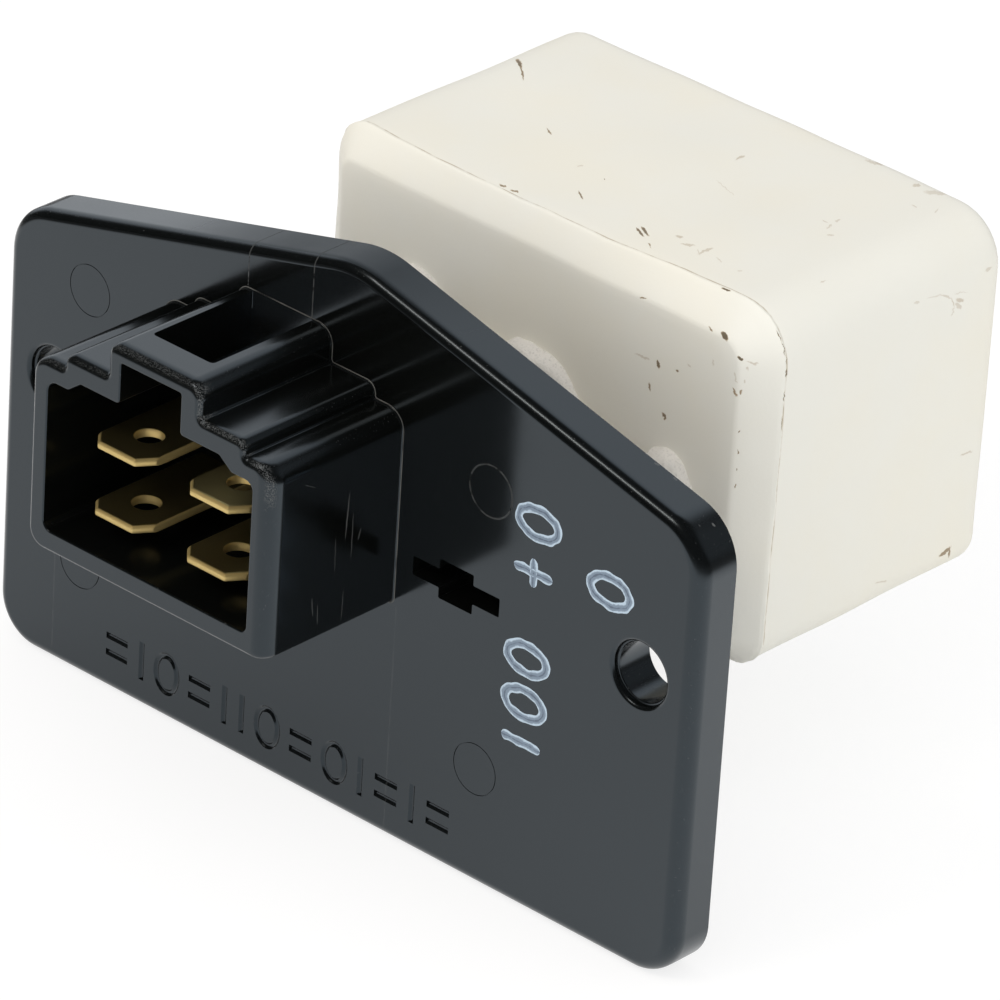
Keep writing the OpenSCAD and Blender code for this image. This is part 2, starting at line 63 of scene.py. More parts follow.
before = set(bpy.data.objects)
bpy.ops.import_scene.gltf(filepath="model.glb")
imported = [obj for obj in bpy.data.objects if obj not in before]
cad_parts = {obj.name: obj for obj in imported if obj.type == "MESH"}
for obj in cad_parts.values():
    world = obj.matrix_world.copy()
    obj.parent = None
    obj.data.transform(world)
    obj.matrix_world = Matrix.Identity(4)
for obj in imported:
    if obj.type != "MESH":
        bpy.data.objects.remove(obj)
cad_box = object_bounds()

MM = 0.001
FRONT = np.array([0.0, -1.0, 0.0])


def box_mm(node):
    """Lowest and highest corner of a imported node, in millimetres."""
    return [np.array(corner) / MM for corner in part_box(node)]


flange_low, flange_high = box_mm("flange")
block_low, block_high = box_mm("resistor_block")

# Flange
PLATE_T = 4.3
SHOULDER_Z = 14.05
PEAK_Z = 23.75
LOWER_CORNER_R = 4.2
SHOULDER_R = 5.0
PEAK_R = 10.0
HOLE_X = 32.95
HOLE_R = 2.6

# Plug socket
SOCKET_X = -7.32
SOCKET_FLOOR = -2.87
SOCKET_W = 23.16
SIDE_ROOM = 13.64
MIDDLE_ROOM = 14.68
MIDDLE_W = 15.6
SLOPE_W = 1.4
LATCH_W = 6.79
LATCH_ROOM = 18.41
MOUTH_Y = flange_low[1]

# Terminals
BLADE_W = 6.3
BLADE_T = 0.8
COLUMN_PITCH = 10.5
ROW_LOW = 2.54
ROW_PITCH = 6.16
COLUMNS = {"left": SOCKET_X - COLUMN_PITCH / 2, "right": SOCKET_X + COLUMN_PITCH / 2}
ROWS = {"lower": SOCKET_FLOOR + ROW_LOW, "upper": SOCKET_FLOOR + ROW_LOW + ROW_PITCH}
STOP_W = 8.3
STOP_L = 1.5
LEG_W = 5.0
LEG_END = 26.2

# Block
BLOCK_FRONT = block_low[1]
BLOCK_BACK = block_high[1]


def size(name, description, default_mm):
    """A length that the user may change, given in millimetres."""
    return bpy.props.FloatProperty(
        name=name, description=description, default=default_mm * MM, min=0, unit="LENGTH",
        precision=5,
    )


def colour(name, description, default):
    """A colour that the user may change."""
    return bpy.props.FloatVectorProperty(
        name=name, description=description, default=default, size=3, min=0, max=1, subtype="COLOR"
    )


class ResistorSizes(bpy.types.PropertyGroup):
    """Sizes of the finishing details"""

    bridge_depth: size("Bridge depth", "Depth of the bridge over the latch slot", 3.5)
    lip_round: size("Lip rounding", "Radius of the socket's inner lip", 0.15)
    foot_round: size("Foot rounding", "Radius where the socket meets the plate", 0.12)
    mark_depth: size("Mark depth", "Depth of the moulded marks", 0.2)
    mark_width: size("Mark width", "Width of a moulded stroke", 0.6)
    ring_groove: size("Ejector groove", "Width of the groove round an ejector mark", 0.16)
    blade_round: size("Blade rounding", "Radius of a blade's stamped edges", 0.07)
    bevel_depth: size("Block bevel", "Depth of the block's bevelled front edge", 2.5)
    bevel_inset: size("Bevel inset", "How far the block's front edge is drawn in", 2.7)
    seam_height: size("Seam height", "Height of the mould line on the block", 0.13)
    block_swell: size("Block unevenness", "How far the cast faces swell and dip", 0.05)
    ink_width: size("Ink width", "Width of a stamped stroke", 0.92)
    ink_height: size("Ink height", "Height of the stamped ink", 0.02)


class ResistorColours(bpy.types.PropertyGroup):
    """Colours of the finishes"""

    moulding: colour("Moulding", "Black moulding", (0.0025, 0.0028, 0.0025))
    # Also the colour of the painted highlight along the mould lines on the flange's face
    grit: colour("Grit", "Worn, gritty corners of the moulding", (0.11, 0.11, 0.105))
    brass: colour("Brass", "Stamped brass strip", (0.62, 0.47, 0.19))
    block: colour("Block", "Cream cast cement", (0.86, 0.85, 0.78))
    stain: colour("Stain", "Dark scuffs and pits on the block", (0.12, 0.095, 0.06))
    # Also the colour of the painted shade in the dip behind the block's mould line
    smear_and_seam_shade: colour("Smear", "Brown smears on the block", (0.44, 0.34, 0.22))
    cement: colour("Sealing cement", "White sealing cement", (0.66, 0.64, 0.60))
    ink: colour("Ink", "Stamped ink", (0.45, 0.56, 0.66))


def sizes_mm(context):
    """The user's sizes in millimetres."""
    group, names = context.scene.resistor_sizes, ResistorSizes.__annotations__
    return SimpleNamespace(**{name: getattr(group, name) / MM for name in names})


# Shapes: each function gives an array of points in millimetres and a list of faces


def unit(v):
    """Each row of v scaled to length 1."""
    return v / np.linalg.norm(v, axis=-1, keepdims=True)


def quarter(steps):
    """Angles through a quarter turn."""
    return np.linspace(0, np.pi / 2, steps)


def cross2(a, b):
    """Cross product of two lists of plane vectors."""
    return a[..., 0] * b[..., 1] - a[..., 1] * b[..., 0]


def edge_directions(corners):
    """Direction of the edge before and of the edge after each corner of a closed outline."""
    after = unit(np.roll(corners[:, :2], -1, axis=0) - corners[:, :2])
    return np.roll(after, 1, axis=0), after


def moved_in(corners, moves, least=0.3):
    """Corners (across, up, radius) after edge i has moved inward by moves[i].
    A corner goes to (a v - b u) / (u x v) from its place, for edges u and v that move by a and b,
    and its radius shrinks by their mean where it bulges, to no less than least."""
    before, after = edge_directions(corners)
    moves = np.broadcast_to(np.asarray(moves, float), len(corners))
    a, b, turn = np.roll(moves, 1)[:, None], moves[:, None], cross2(before, after)[:, None]
    places = corners[:, :2] + (a * after - b * before) / turn
    radii = corners[:, 2:] - np.sign(turn) * (a + b) / 2
    return np.hstack([places, np.maximum(radii, np.minimum(least, corners[:, 2:]))])


def rounded(corners, steps=10, parts=1):
    """Outline through corners (across, up, radius): each is an arc of its radius that touches both
    edges, in that many steps, and each straight edge is cut into equal parts."""
    before, after = edge_directions(corners)
    turn = np.arctan2(cross2(before, after), (before * after).sum(1))
    r = corners[:, 2]
    start = corners[:, :2] - before * (r * np.tan(abs(turn) / 2))[:, None]
    inward = np.column_stack([-before[:, 1], before[:, 0]]) * np.sign(turn)[:, None]
    centre = start + inward * r[:, None]
    spoke = start - centre
    a = turn[:, None] * np.linspace(0, 1, steps + 1)
    arc = centre[:, None] + np.stack(
        [
            spoke[:, :1] * np.cos(a) - spoke[:, 1:] * np.sin(a),
            spoke[:, :1] * np.sin(a) + spoke[:, 1:] * np.cos(a),
        ],
        axis=-1,
    )
    gap = np.roll(arc[:, 0], -1, axis=0)[:, None] - arc[:, -1:]
    straight = arc[:, -1:] + gap * (np.arange(1, parts) / parts)[None, :, None]
    return np.concatenate([arc, straight], axis=1).reshape(-1, 2)


def at_y(outline, y):
    """An outline in X and Z placed at depth y, which may differ from point to point."""
    return np.column_stack([outline[:, 0], np.broadcast_to(y, len(outline)), outline[:, 1]])


def at_z(outline, z):
    """An outline in X and Y placed at height z."""
    return np.column_stack([outline, np.full(len(outline), z)])


def ring_at(corners, y, moves=0.0, steps=14, least=0.3, parts=1):
    """The rounded outline of the corners at depth y, after its edges have moved in."""
    return at_y(rounded(moved_in(corners, moves, least), steps, parts), y)


def skin(rings, closed=False):
    """Rings of equally many points, each joined to the next by quads. The ends get flat caps, or,
    when closed, the last ring is joined to the first."""
    rings = np.asarray(rings, float)
    rows, columns = rings.shape[:2]
    here = np.arange(rows if closed else rows - 1)[:, None] * columns
    below = (here + columns) % (rows * columns)
    c = np.arange(columns)
    right = (c + 1) % columns
    quads = np.stack([here + c, here + right, below + right, below + c], axis=-1)
    faces = quads.reshape(-1, 4).tolist()
    if not closed:
        faces += [list(range(columns)), list(range((rows - 1) * columns, rows * columns))]
    return rings.reshape(-1, 3), faces


def together(shapes):
    """Several shapes as one, their faces numbered on."""
    points, faces, count = [], [], 0
    for shape_points, shape_faces in shapes:
        points.append(shape_points)
        faces += [[i + count for i in face] for face in shape_faces]
        count += len(shape_points)
    return np.vstack(points), faces


def turned(profile, centre, along, sides=64):
    """A profile of (radius, distance) carried round an axis through centre, along +X, +Y or +Z."""
    a = np.linspace(0, 2 * np.pi, sides, endpoint=False)
    spokes = np.zeros((sides, 3))
    spokes[:, (along + 1) % 3], spokes[:, (along + 2) % 3] = np.cos(a), np.sin(a)
    axis = np.eye(3)[along]
    profile = np.asarray(profile, float)
    rings = centre + profile[:, :1, None] * spokes + profile[:, 1:, None] * axis
    return skin(rings)


def swept(path, up, profile, closed=False, widths=1.0):
    """A profile of (side, up) carried along a path, its sides scaled by widths. Where the path
    turns, the side direction is (s1 + s2) / (1 + s1.s2), so that both stretches meet in a mitre."""
    path = np.asarray(path, float)
    up = np.broadcast_to(np.asarray(up, float), path.shape)
    ahead = unit(np.roll(path, -1, axis=0) - path)
    behind = np.roll(ahead, 1, axis=0)
    if not closed:
        ahead[-1], behind[0] = behind[-1], ahead[0]
    s1, s2 = unit(np.cross(behind, up)), unit(np.cross(ahead, up))
    side = (s1 + s2) / (1 + (s1 * s2).sum(1, keepdims=True))
    side = side * np.broadcast_to(widths, len(path))[:, None]
    profile = np.asarray(profile, float)
    rings = path[:, None] + profile[:, :1] * side[:, None] + profile[:, 1:] * up[:, None]
    return skin(rings, closed)


def tube(path, radius, up, sides=20):
    """A round tube along a path that stays square to up."""
    a = np.linspace(0, 2 * np.pi, sides, endpoint=False)
    return swept(path, up, radius * np.column_stack([np.cos(a), np.sin(a)]))


def arc_path(x, z, rx, rz, steps=28):
    """An ellipse in X and Z, from its right end on."""
    a = np.linspace(0, 2 * np.pi, steps, endpoint=False)
    return np.column_stack([x + rx * np.cos(a), z + rz * np.sin(a)])


def uneven(points, amount, pitch, seed):
    """Points pushed by a smooth field: each coordinate gets a sum of five sine waves of the place,
    with wavelengths of about pitch and directions and phases drawn from seed."""
    draw = np.random.default_rng(seed)
    waves = draw.normal(size=(3, 5, 3))
    waves = unit(waves) * (2 * np.pi / pitch * draw.uniform(0.6, 1.5, (3, 5, 1)))
    phases = draw.uniform(0, 2 * np.pi, (3, 5))
    field = np.sin(np.einsum("akj,ij->iak", waves, points) + phases).sum(-1) / np.sqrt(5)
    return points + amount * field


# Mesh objects


def new_object(name, shape):
    """A mesh object made of a shape, its faces turned outward and its places in metres."""
    points, faces = shape
    mesh = bpy.data.meshes.new(name)
    mesh.from_pydata((points * MM).tolist(), [], faces)
    made = bmesh.new()
    made.from_mesh(mesh)
    bmesh.ops.recalc_face_normals(made, faces=made.faces)
    made.to_mesh(mesh)
    made.free()
    piece = bpy.data.objects.new(name, mesh)
    bpy.context.scene.collection.objects.link(piece)
    return piece


def carve(piece, shape, operation="DIFFERENCE"):
    """Cuts a shape from a piece, or joins it on, and keeps the result as the piece's mesh."""
    tool = new_object("tool", shape)
    step = piece.modifiers.new("carve", "BOOLEAN")
    step.operation, step.solver, step.object = operation, "MANIFOLD", tool
    seen = bpy.context.evaluated_depsgraph_get()
    result = bpy.data.meshes.new_from_object(piece.evaluated_get(seen))
    if len(result.polygons) < 4:
        raise RuntimeError(f"{piece.name}: carving left nothing")
    piece.modifiers.clear()
    spent = piece.data
    piece.data = result
    result.name = piece.name
    for old in (spent, tool.data):
        bpy.data.meshes.remove(old)
    return piece


def set_values(piece, name, values):
    """Keeps one number for each point of a piece, for its material to read."""
    kept = piece.data.attributes.new(name, "FLOAT", "POINT")
    kept.data.foreach_set("value", np.asarray(values, np.float32))


def finish(piece, material, nodes=(), sharp_degrees=35, flat=True):
    """Shades a piece smooth between its sharp edges, keeps its large faces flat if asked to, gives
    it its material and puts it on the frame."""
    mesh = piece.data
    mesh.polygons.foreach_set("use_smooth", np.ones(len(mesh.polygons), bool))
    mesh.set_sharp_from_angle(angle=np.radians(sharp_degrees))
    mesh.materials.clear()
    mesh.materials.append(material)
    if flat:
        normals = piece.modifiers.new("flat faces stay flat", "WEIGHTED_NORMAL")
        normals.keep_sharp = True
    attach(piece, "root")
    if nodes:
        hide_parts(*nodes)
    return piece


# Shader nodes


class Value:
    """One output in a shader tree. Sums, differences, products and absolute values of it are Math
    nodes, and a | b is the greater of two."""

    def __init__(self, socket):
        self.socket, self.tree = socket, socket.id_data

    def math(self, operation, *others, **settings):
        return put(self.tree, "Math", (self, *others), operation=operation, **settings)

    def __add__(self, other):
        return self.math("ADD", other)

    def __sub__(self, other):
        return self.math("SUBTRACT", other)

    def __mul__(self, other):
        return self.math("MULTIPLY", other)

    def __or__(self, other):
        return self.math("MAXIMUM", other)

    def __abs__(self):
        return self.math("ABSOLUTE")


def join(value, socket):
    """Links a value to an input, or gives the input a plain number, vector or colour."""
    if isinstance(value, Value):
        value.tree.links.new(value.socket, socket)
    elif value is not None:
        socket.default_value = (*value, 1) if socket.type == "RGBA" else value


def put(tree, kind, values=(), out=0, named=None, **settings):
    """Adds a node with those settings, joins its inputs by number or name, and gives an output."""
    made = tree.nodes.new("ShaderNode" + kind)
    for key, value in settings.items():
        setattr(made, key, value)
    for key, value in [*enumerate(values), *(named or {}).items()]:
        join(value, made.inputs[key])
    return Value(made.outputs[out])


def vector(operation, *values, out=0):
    """A vector made from others, or with out=1 a number made from them."""
    return put(values[0].tree, "VectorMath", values, out, operation=operation)


def dot(v, axis):
    """How far a vector reaches along an axis."""
    return vector("DOT_PRODUCT", v, tuple(axis), out=1)


def scaled(v, times):
    """A vector times a number."""
    return put(v.tree, "VectorMath", (v,), named={"Scale": times}, operation="SCALE")


def split(v):
    """The three parts of a vector."""
    return [Value(part) for part in put(v.tree, "SeparateXYZ", (v,)).socket.node.outputs]


def ramp(value, low, high, start=0.0, end=1.0):
    """A smooth step of value: start up to low, end from high on."""
    inputs = (value, low, high, start, end)
    return put(value.tree, "MapRange", inputs, interpolation_type="SMOOTHSTEP")


def blend(share, a, b):
    """Colour a where share is 0 and b where it is 1."""
    return put(share.tree, "Mix", (share,), 2, {6: a, 7: b}, data_type="RGBA")


def shade(colour, times):
    """A colour times a number, or each of its parts times its own."""
    return tuple(float(part) for part in np.multiply(colour, times))


def noise(place, per_mm, detail, roughness, out=0):
    """Noise from 0 to 1, with that many lumps to the millimetre, or with out=1 three of them."""
    named = {"Scale": per_mm, "Detail": detail, "Roughness": roughness}
    return put(place.tree, "TexNoise", (place,), out, named)


def kept_value(place, name):
    """The number that set_values() kept for each point."""
    return put(place.tree, "Attribute", out="Fac", attribute_name=name)


def bumped(height, distance_mm, strength=1.0, under=None):
    """The surface's normal after a bump of that height, on top of an earlier one."""
    named = {"Strength": strength, "Distance": distance_mm * MM, "Height": height, "Normal": under}
    return put(height.tree, "Bump", named=named)


def new_material(name):
    """An empty material, the place on its surface in millimetres, and the way the surface faces."""
    material = bpy.data.materials.new(name)
    material.use_nodes = True
    place = put(material.node_tree, "TexCoord", out="Object")
    return material, scaled(place, 1 / MM), Value(place.socket.node.outputs["Normal"])


def dress(material, **inputs):
    """Joins the inputs of a material's shader, whose names are written with underscores."""
    shader = material.node_tree.nodes["Principled BSDF"]
    for key, value in inputs.items():
        join(value, shader.inputs[key.replace("_", " ")])
    return material


def seen_place_group():
    """The place on a plane square to the photograph's line of sight, across and up in millimetres,
    pushed about by noise so that what is drawn there gets a ragged outline."""
    name = "Seen place"
    if name in bpy.data.node_groups:
        return bpy.data.node_groups[name]
    group = bpy.data.node_groups.new(name, "ShaderNodeTree")
    for label, kind, way in (
        ("Place", "Vector", "INPUT"), ("Ragged", "Float", "INPUT"), ("Seen", "Vector", "OUTPUT"),
    ):
        group.interface.new_socket(label, in_out=way, socket_type="NodeSocket" + kind)
    inside = group.nodes.new("NodeGroupInput").outputs
    place, ragged = Value(inside["Place"]), Value(inside["Ragged"])
    seen = put(group, "CombineXYZ", [dot(place, axis) for axis in view_axes()[:2]])
    push = vector("SUBTRACT", noise(seen, 2.0, 3, 0.6, out=1), (0.5, 0.5, 0.5))
    moved = vector("MULTIPLY", vector("ADD", seen, scaled(push, ragged)), (1, 1, 0))
    join(moved, group.nodes.new("NodeGroupOutput").inputs["Seen"])
    return group


def seen_place(place, ragged):
    """The shared group, placed in a material."""
    return put(place.tree, "Group", (place, ragged), node_tree=seen_place_group())


def spots(seen, marks):
    """Mask of marks on the seen plane. Each is an ellipse round a stroke: across and up of its
    start and of its end, its half width and its strength. After every eight the place is made to
    wait for the mask, because the renderer can keep only so many values at a time."""
    mask = None
    for count, (u0, v0, u1, v1, half, strength) in enumerate(marks):
        if count and count % 8 == 0:
            seen = vector("MULTIPLY_ADD", mask, (1e-6, 1e-6, 1e-6), seen)
        run = (u1 - u0, v1 - v0)
        middle, turn = ((u0 + u1) / 2, (v0 + v1) / 2, 0), (0, 0, np.arctan2(run[1], run[0]))
        inputs = (seen, middle, turn, (np.hypot(*run) / 2 + half, half, 1))
        local = put(seen.tree, "Mapping", inputs, vector_type="TEXTURE")
        one = ramp(vector("LENGTH", local, out=1), 0.65, 1.15, strength, 0.0)
        mask = one if mask is None else mask | one
    return mask


# Finishes


def worn_corners():
    """Stretches of the moulding's edges that are worn, on the seen plane: see spots()."""
    shoulder = LEVEL_BRIDGE - (LEVEL_BRIDGE - LEVEL_MIDDLE) / 3
    stretches = [
        (LATCH_RIGHT, shoulder, LATCH_RIGHT, LEVEL_MIDDLE, 1.3, 1.0),
        (LATCH_RIGHT, LEVEL_MIDDLE, STEP_RIGHT + 0.5, LEVEL_MIDDLE - 0.6, 0.8, 0.8),
        (OUTER_RIGHT - 1.6, LEVEL_SIDE, OUTER_RIGHT - 0.3, LEVEL_SIDE - 2.4, 0.9, 0.8),
        (LATCH_LEFT, LEVEL_BRIDGE - 0.3, LATCH_RIGHT, LEVEL_BRIDGE - 0.3, 0.7, 0.4),
        (OUTER_LEFT + 0.5, LEVEL_SIDE - 0.3, LATCH_LEFT, LEVEL_MIDDLE - 0.3, 0.7, 0.35),
    ]
    axes = np.array(view_axes()[:2])
    return [
        (*(axes @ [x0, MOUTH_Y, z0]), *(axes @ [x1, MOUTH_Y, z1]), half, strength)
        for x0, z0, x1, z1, half, strength in stretches
    ]


# Scratches, specks and nicks on the moulding, on the seen plane: see spots()
MOULDING_MARKS = [
    (-1.76, 1.1, -2.19, -2.74, 0.05, 0.6), (-0.93, -1.78, -1.17, -2.75, 0.05, 0.45),
    (-5.25, 1.65, -4.4, 1.42, 0.05, 0.25), (-4.83, -7.38, -4.8, -8.9, 0.04, 0.5),
    (-4.4, -7.9, -4.45, -9.6, 0.04, 0.4), (-1.5, -0.4, -1.75, -4.4, 0.04, 0.4),
    (-2.9, -2.4, -3.05, -5.6, 0.04, 0.3), (-2.35, -6.6, -2.6, -9.4, 0.04, 0.3),
    (26.82, -1.4, 26.97, -1.55, 0.09, 0.9), (22.39, 3.37, 22.7, 3.21, 0.09, 0.5),
    (23.86, 2.19, 24.06, 2.03, 0.09, 0.5), (-1.69, 21.21, -1.49, 21.05, 0.1, 0.6),
]

# Two mould lines up the face and over the top edge, with a painted highlight along them, and two
# faint pale lines low on the face
PARTING_X = (-11.25, -4.05)
FAINT_X = (-32.0, 6.85)


def black_moulding(colours):
    """Glossy black moulding with a faint ripple, worn to a fine pale grit at the mouth's corners,
    with a few scratches, a painted highlight along two mould lines, two faint pale lines low on the
    face and one pale ejector mark. Its gloss is duller on rounded edges, and on top of the plate
    near the peak."""
    material, place, facing = new_material("black_moulding")
    x, y, z = split(place)
    out_x, out_y, out_z = split(vector("ABSOLUTE", facing))
    edge = ramp(out_x | out_y | out_z, 0.80, 0.985, 1.0, 0.0)
    on_top = ramp(split(facing)[2], 0.85, 0.95)
    grains = noise(place, 10.0, 2, 0.6)
    worn = spots(seen_place(place, 0.7), worn_corners()) * edge
    grit = worn * ramp(grains, 0.47, 0.64)
    dust = edge * ramp(noise(place, 5.0, 1, 0.5), 0.70, 0.76, 0.0, 0.3)
    pale = grit | dust | spots(seen_place(place, 0.1), MOULDING_MARKS)
    plate = ramp(y, -PLATE_T - 0.3, -PLATE_T - 0.2)
    broken = ramp(noise(place, 1.3, 3, 0.6), 0.42, 0.5, 0.25, 1.0)
    above = plate * ramp(z, 16.9, 17.1)
    # Painted highlight: a pale, broken stripe along each mould line on the plate's upper face
    for line_x in PARTING_X:
        pale = pale | ramp(abs(x - line_x), 0.03, 0.075, 0.55, 0.0) * above * broken
    below = ramp(z, -5.0, -4.8, 0.13, 0.0) * broken
    for line_x in FAINT_X:
        pale = pale | ramp(abs(x - line_x), 0.04, 0.12, 1.0, 0.0) * below
    ring_x, ring_z = EJECTOR_SPOTS[PALE_EJECTOR]
    on_face = vector("MULTIPLY", place, (1, 0, 1))
    from_ring = vector("DISTANCE", on_face, (ring_x, 0, ring_z), out=1) - EJECTOR_R
    pale = pale | ramp(abs(from_ring), 0.04, 0.1, 0.5, 0.0) * plate * broken
    haze = ramp(noise(place, 0.12, 4, 0.6), 0.3, 0.8, 0.11, 0.16)
    sideways = ramp(out_y, 0.3, 0.8, 0.05, 0.0)
    scuffed = ramp(abs(x + 4.0), 2.0, 21.0, 0.33, 0.0) * on_top * plate
    ripple = bumped(noise(place, 0.09, 1, 0.4), 0.05, 0.35)
    return dress(
        material, Base_Color=blend(pale, colours.moulding, colours.grit), IOR=1.55,
        Roughness=haze + sideways + pale * 0.4 + edge * 0.1 + scuffed,
        Normal=bumped(grains, 0.02, worn * 0.9, ripple), Specular_Tint=(0.72, 0.87, 1.0),
    )


def painted_flash_highlight():
    """The crest of a mould line, with a grey painted highlight, paler in some stretches than in
    others.
    """
    material, place, _ = new_material("painted_flash_highlight")
    stretches = ramp(noise(place, 0.25, 3, 0.6), 0.35, 0.6)
    # Painted highlight: grey, paler in some stretches, on the ridge round the socket's foot
    base = blend(stretches, (0.012, 0.012, 0.011), (0.11, 0.11, 0.10))
    return dress(material, Base_Color=base, Roughness=0.5)


def stamped_brass(colours):
    """Brass strip: dull, olive, smooth flats and rougher, chalkier cut edges with the shear's fine
    lines."""
    material, place, facing = new_material("stamped_brass")
    lines = noise(vector("MULTIPLY", place, (0.3, 0.3, 3.0)), 3.0, 3, 0.6)
    flat = ramp(abs(split(facing)[2]), 0.9, 0.99)
    tarnish = flat * ramp(noise(place, 0.15, 1, 0.5), 0.3, 0.7, 0.7, 0.9)
    olive = shade(colours.brass, (0.50, 0.56, 0.62))
    cut = ramp(lines, 0.3, 0.7, 0.40, 0.52)
    return dress(
        material, Base_Color=blend(tarnish, colours.brass, olive),
        Metallic=ramp(flat, 0.0, 1.0, 0.7, 0.97), Roughness=cut - flat * (cut - 0.3),
        Normal=bumped(lines, 0.02, flat * -0.45 + 0.5),
    )


# Marks on the block, on the seen plane: see spots(). Brown smears up to a strength of 0.5, and dark
# pits and scuffs above it
BLOCK_MARKS = [
    (11.74, 37.69, 11.99, 37.23, 0.2, 0.82), (11.91, 37.23, 12.24, 36.02, 0.1, 0.73),
    (14.18, 31.45, 14.47, 30.99, 0.08, 0.68), (18.81, 26.94, 18.85, 26.9, 0.06, 0.75),
    (16.72, 25.83, 16.96, 25.3, 0.09, 0.75), (10.21, 26.5, 10.67, 26.24, 0.09, 0.73),
    (11.12, 25.98, 11.69, 25.82, 0.07, 0.68), (21.43, 22.64, 21.87, 21.97, 0.12, 0.82),
    (21.82, 22.74, 22.32, 22.07, 0.12, 0.82), (22.27, 21.41, 22.47, 21.02, 0.06, 0.65),
    (28.24, 17.5, 28.68, 17.37, 0.13, 0.9), (28.17, 13.91, 28.45, 13.43, 0.18, 0.9),
    (29.41, 11.97, 29.76, 11.81, 0.11, 0.9), (27.07, 14.41, 27.34, 14.06, 0.1, 0.7),
    (21.65, 16.84, 22.09, 16.78, 0.07, 0.7), (23, 11.76, 23.15, 11.23, 0.14, 0.8),
    (24.54, 11.01, 24.62, 10.88, 0.1, 0.73), (22.33, 9.99, 22.42, 9.34, 0.09, 0.7),
    (23.49, 7.47, 23.62, 7.02, 0.13, 0.78), (32.44, 14.1, 32.88, 13.16, 0.04, 0.82),
    (32.88, 13.16, 33.19, 12.05, 0.04, 0.85), (33.19, 12.05, 33.29, 11.26, 0.04, 0.7),
    (33.29, 11.02, 33.24, 10.38, 0.04, 0.85), (33.18, 9.18, 33.11, 8.38, 0.04, 0.85),
    (33.02, 7.25, 32.94, 6.04, 0.04, 0.7), (47.05, -4.23, 47.92, -3.52, 0.13, 0.7),
    (47.89, -3.48, 47.86, -4.23, 0.1, 0.68), (29.53, 6.09, 29.54, 5.96, 0.06, 0.7),
    (29.44, 4.43, 29.45, 4.27, 0.06, 0.73), (29.41, 2.97, 29.41, 2.81, 0.06, 0.73),
    (29.35, 1.68, 29.33, 1.44, 0.06, 0.68), (29.01, 9.5, 29.29, 8.85, 0.1, 0.65),
    (29.64, 9.25, 29.66, 9.01, 0.11, 0.65), (16.63, 28.18, 17.01, 28.18, 0.08, 0.2),
    (29.84, 28.82, 30.52, 29.1, 0.11, 0.32), (28.09, 26.94, 29.51, 25.62, 0.05, 0.18),
    (24.59, 22.04, 25.11, 21.97, 0.11, 0.32), (25, 21.33, 26.08, 21.13, 0.1, 0.28),
    (26.26, 20.9, 26.48, 20.47, 0.07, 0.24), (26.4, 20.52, 27.52, 20.99, 0.11, 0.28),
    (27.84, 20.19, 28.18, 19.81, 0.07, 0.2), (29.51, 19.07, 29.84, 19.01, 0.07, 0.18),
    (21.21, 12.39, 22.28, 11.93, 0.1, 0.24), (25.44, 11.42, 25.64, 11.25, 0.09, 0.2),
    (27.41, 11.77, 27.43, 11.37, 0.07, 0.2), (30.14, 11.57, 30.97, 11.41, 0.1, 0.28),
    (40.76, 28.72, 42.04, 28.27, 0.15, 0.22), (41.51, 28.43, 41.92, 28.27, 0.1, 0.28),
    (44.53, 26.53, 44.94, 26.49, 0.17, 0.28), (45.48, 25.96, 46.96, 25.79, 0.21, 0.2),
    (44.18, 24.8, 44.58, 24.59, 0.07, 0.22), (46.06, 24.22, 46.28, 24.37, 0.07, 0.2),
    (36.7, 23.46, 37.16, 23.17, 0.06, 0.24), (36.99, 22.73, 37.43, 23.02, 0.06, 0.24),
    (37.79, 23.36, 38.09, 23.46, 0.07, 0.24), (37.02, 22.15, 37.47, 22.14, 0.07, 0.26),
    (36.19, 18.12, 36.68, 18.29, 0.06, 0.24), (44.15, 16.57, 44.49, 16.71, 0.11, 0.2),
    (45.16, 16.96, 46.31, 17.28, 0.06, 0.18), (46.31, 17.28, 47.35, 17.04, 0.07, 0.24),
    (47.35, 17.04, 47.61, 16.35, 0.08, 0.28), (47.61, 16.35, 47.38, 15.61, 0.06, 0.18),
    (47.54, 17.4, 48.65, 17.62, 0.06, 0.18), (47.86, 17, 48.23, 16.93, 0.21, 0.32),
    (47.83, 16.6, 48.11, 16.28, 0.17, 0.24), (50.38, 19.4, 50.71, 19.65, 0.14, 0.22),
    (48.64, 4.13, 49.52, 4.55, 0.11, 0.28), (41.44, -6.43, 42.32, -6.33, 0.08, 0.24),
    (29.94, 10.13, 29.9, 9.89, 0.08, 0.24), (30.09, 11.12, 30.14, 10.88, 0.08, 0.24),
    (29.11, 10.78, 29.32, 9.89, 0.07, 0.2),
]


def cream_cement(colours):
    """Cast cement: cream, nearly even, with a fine grain, dark pits and scuffs, brown smears, and a
    thin brownish line of painted shade in the dip just behind the mould line."""
    material, place, _ = new_material("cream_cement")
    clouds = ramp(noise(place, 0.06, 4, 0.55), 0.35, 0.75)
    base = blend(clouds, colours.block, shade(colours.block, (1.01, 0.99, 0.95)))
    marked = spots(seen_place(place, 0.5), BLOCK_MARKS)
    faint = ramp(noise(place, 0.45, 3, 0.6), 0.38, 0.6, 0.15, 0.75)
    # Painted shade: a thin brownish line in the dip just behind the mould line's ridge, broken up
    # by noise
    line = ramp(abs(kept_value(place, "seam") - 0.33), 0.03, 0.12, 1.0, 0.0) * faint
    base = blend(marked.math("MULTIPLY", 1.6, use_clamp=True) | line, base, colours.smear_and_seam_shade)
    base = blend(ramp(marked, 0.5, 0.95, 0.0, 0.9), base, colours.stain)
    grain = bumped(noise(place, 3.0, 3, 0.6), 0.03, 0.35)
    return dress(material, Base_Color=base, Roughness=0.62, Normal=grain, IOR=1.45)


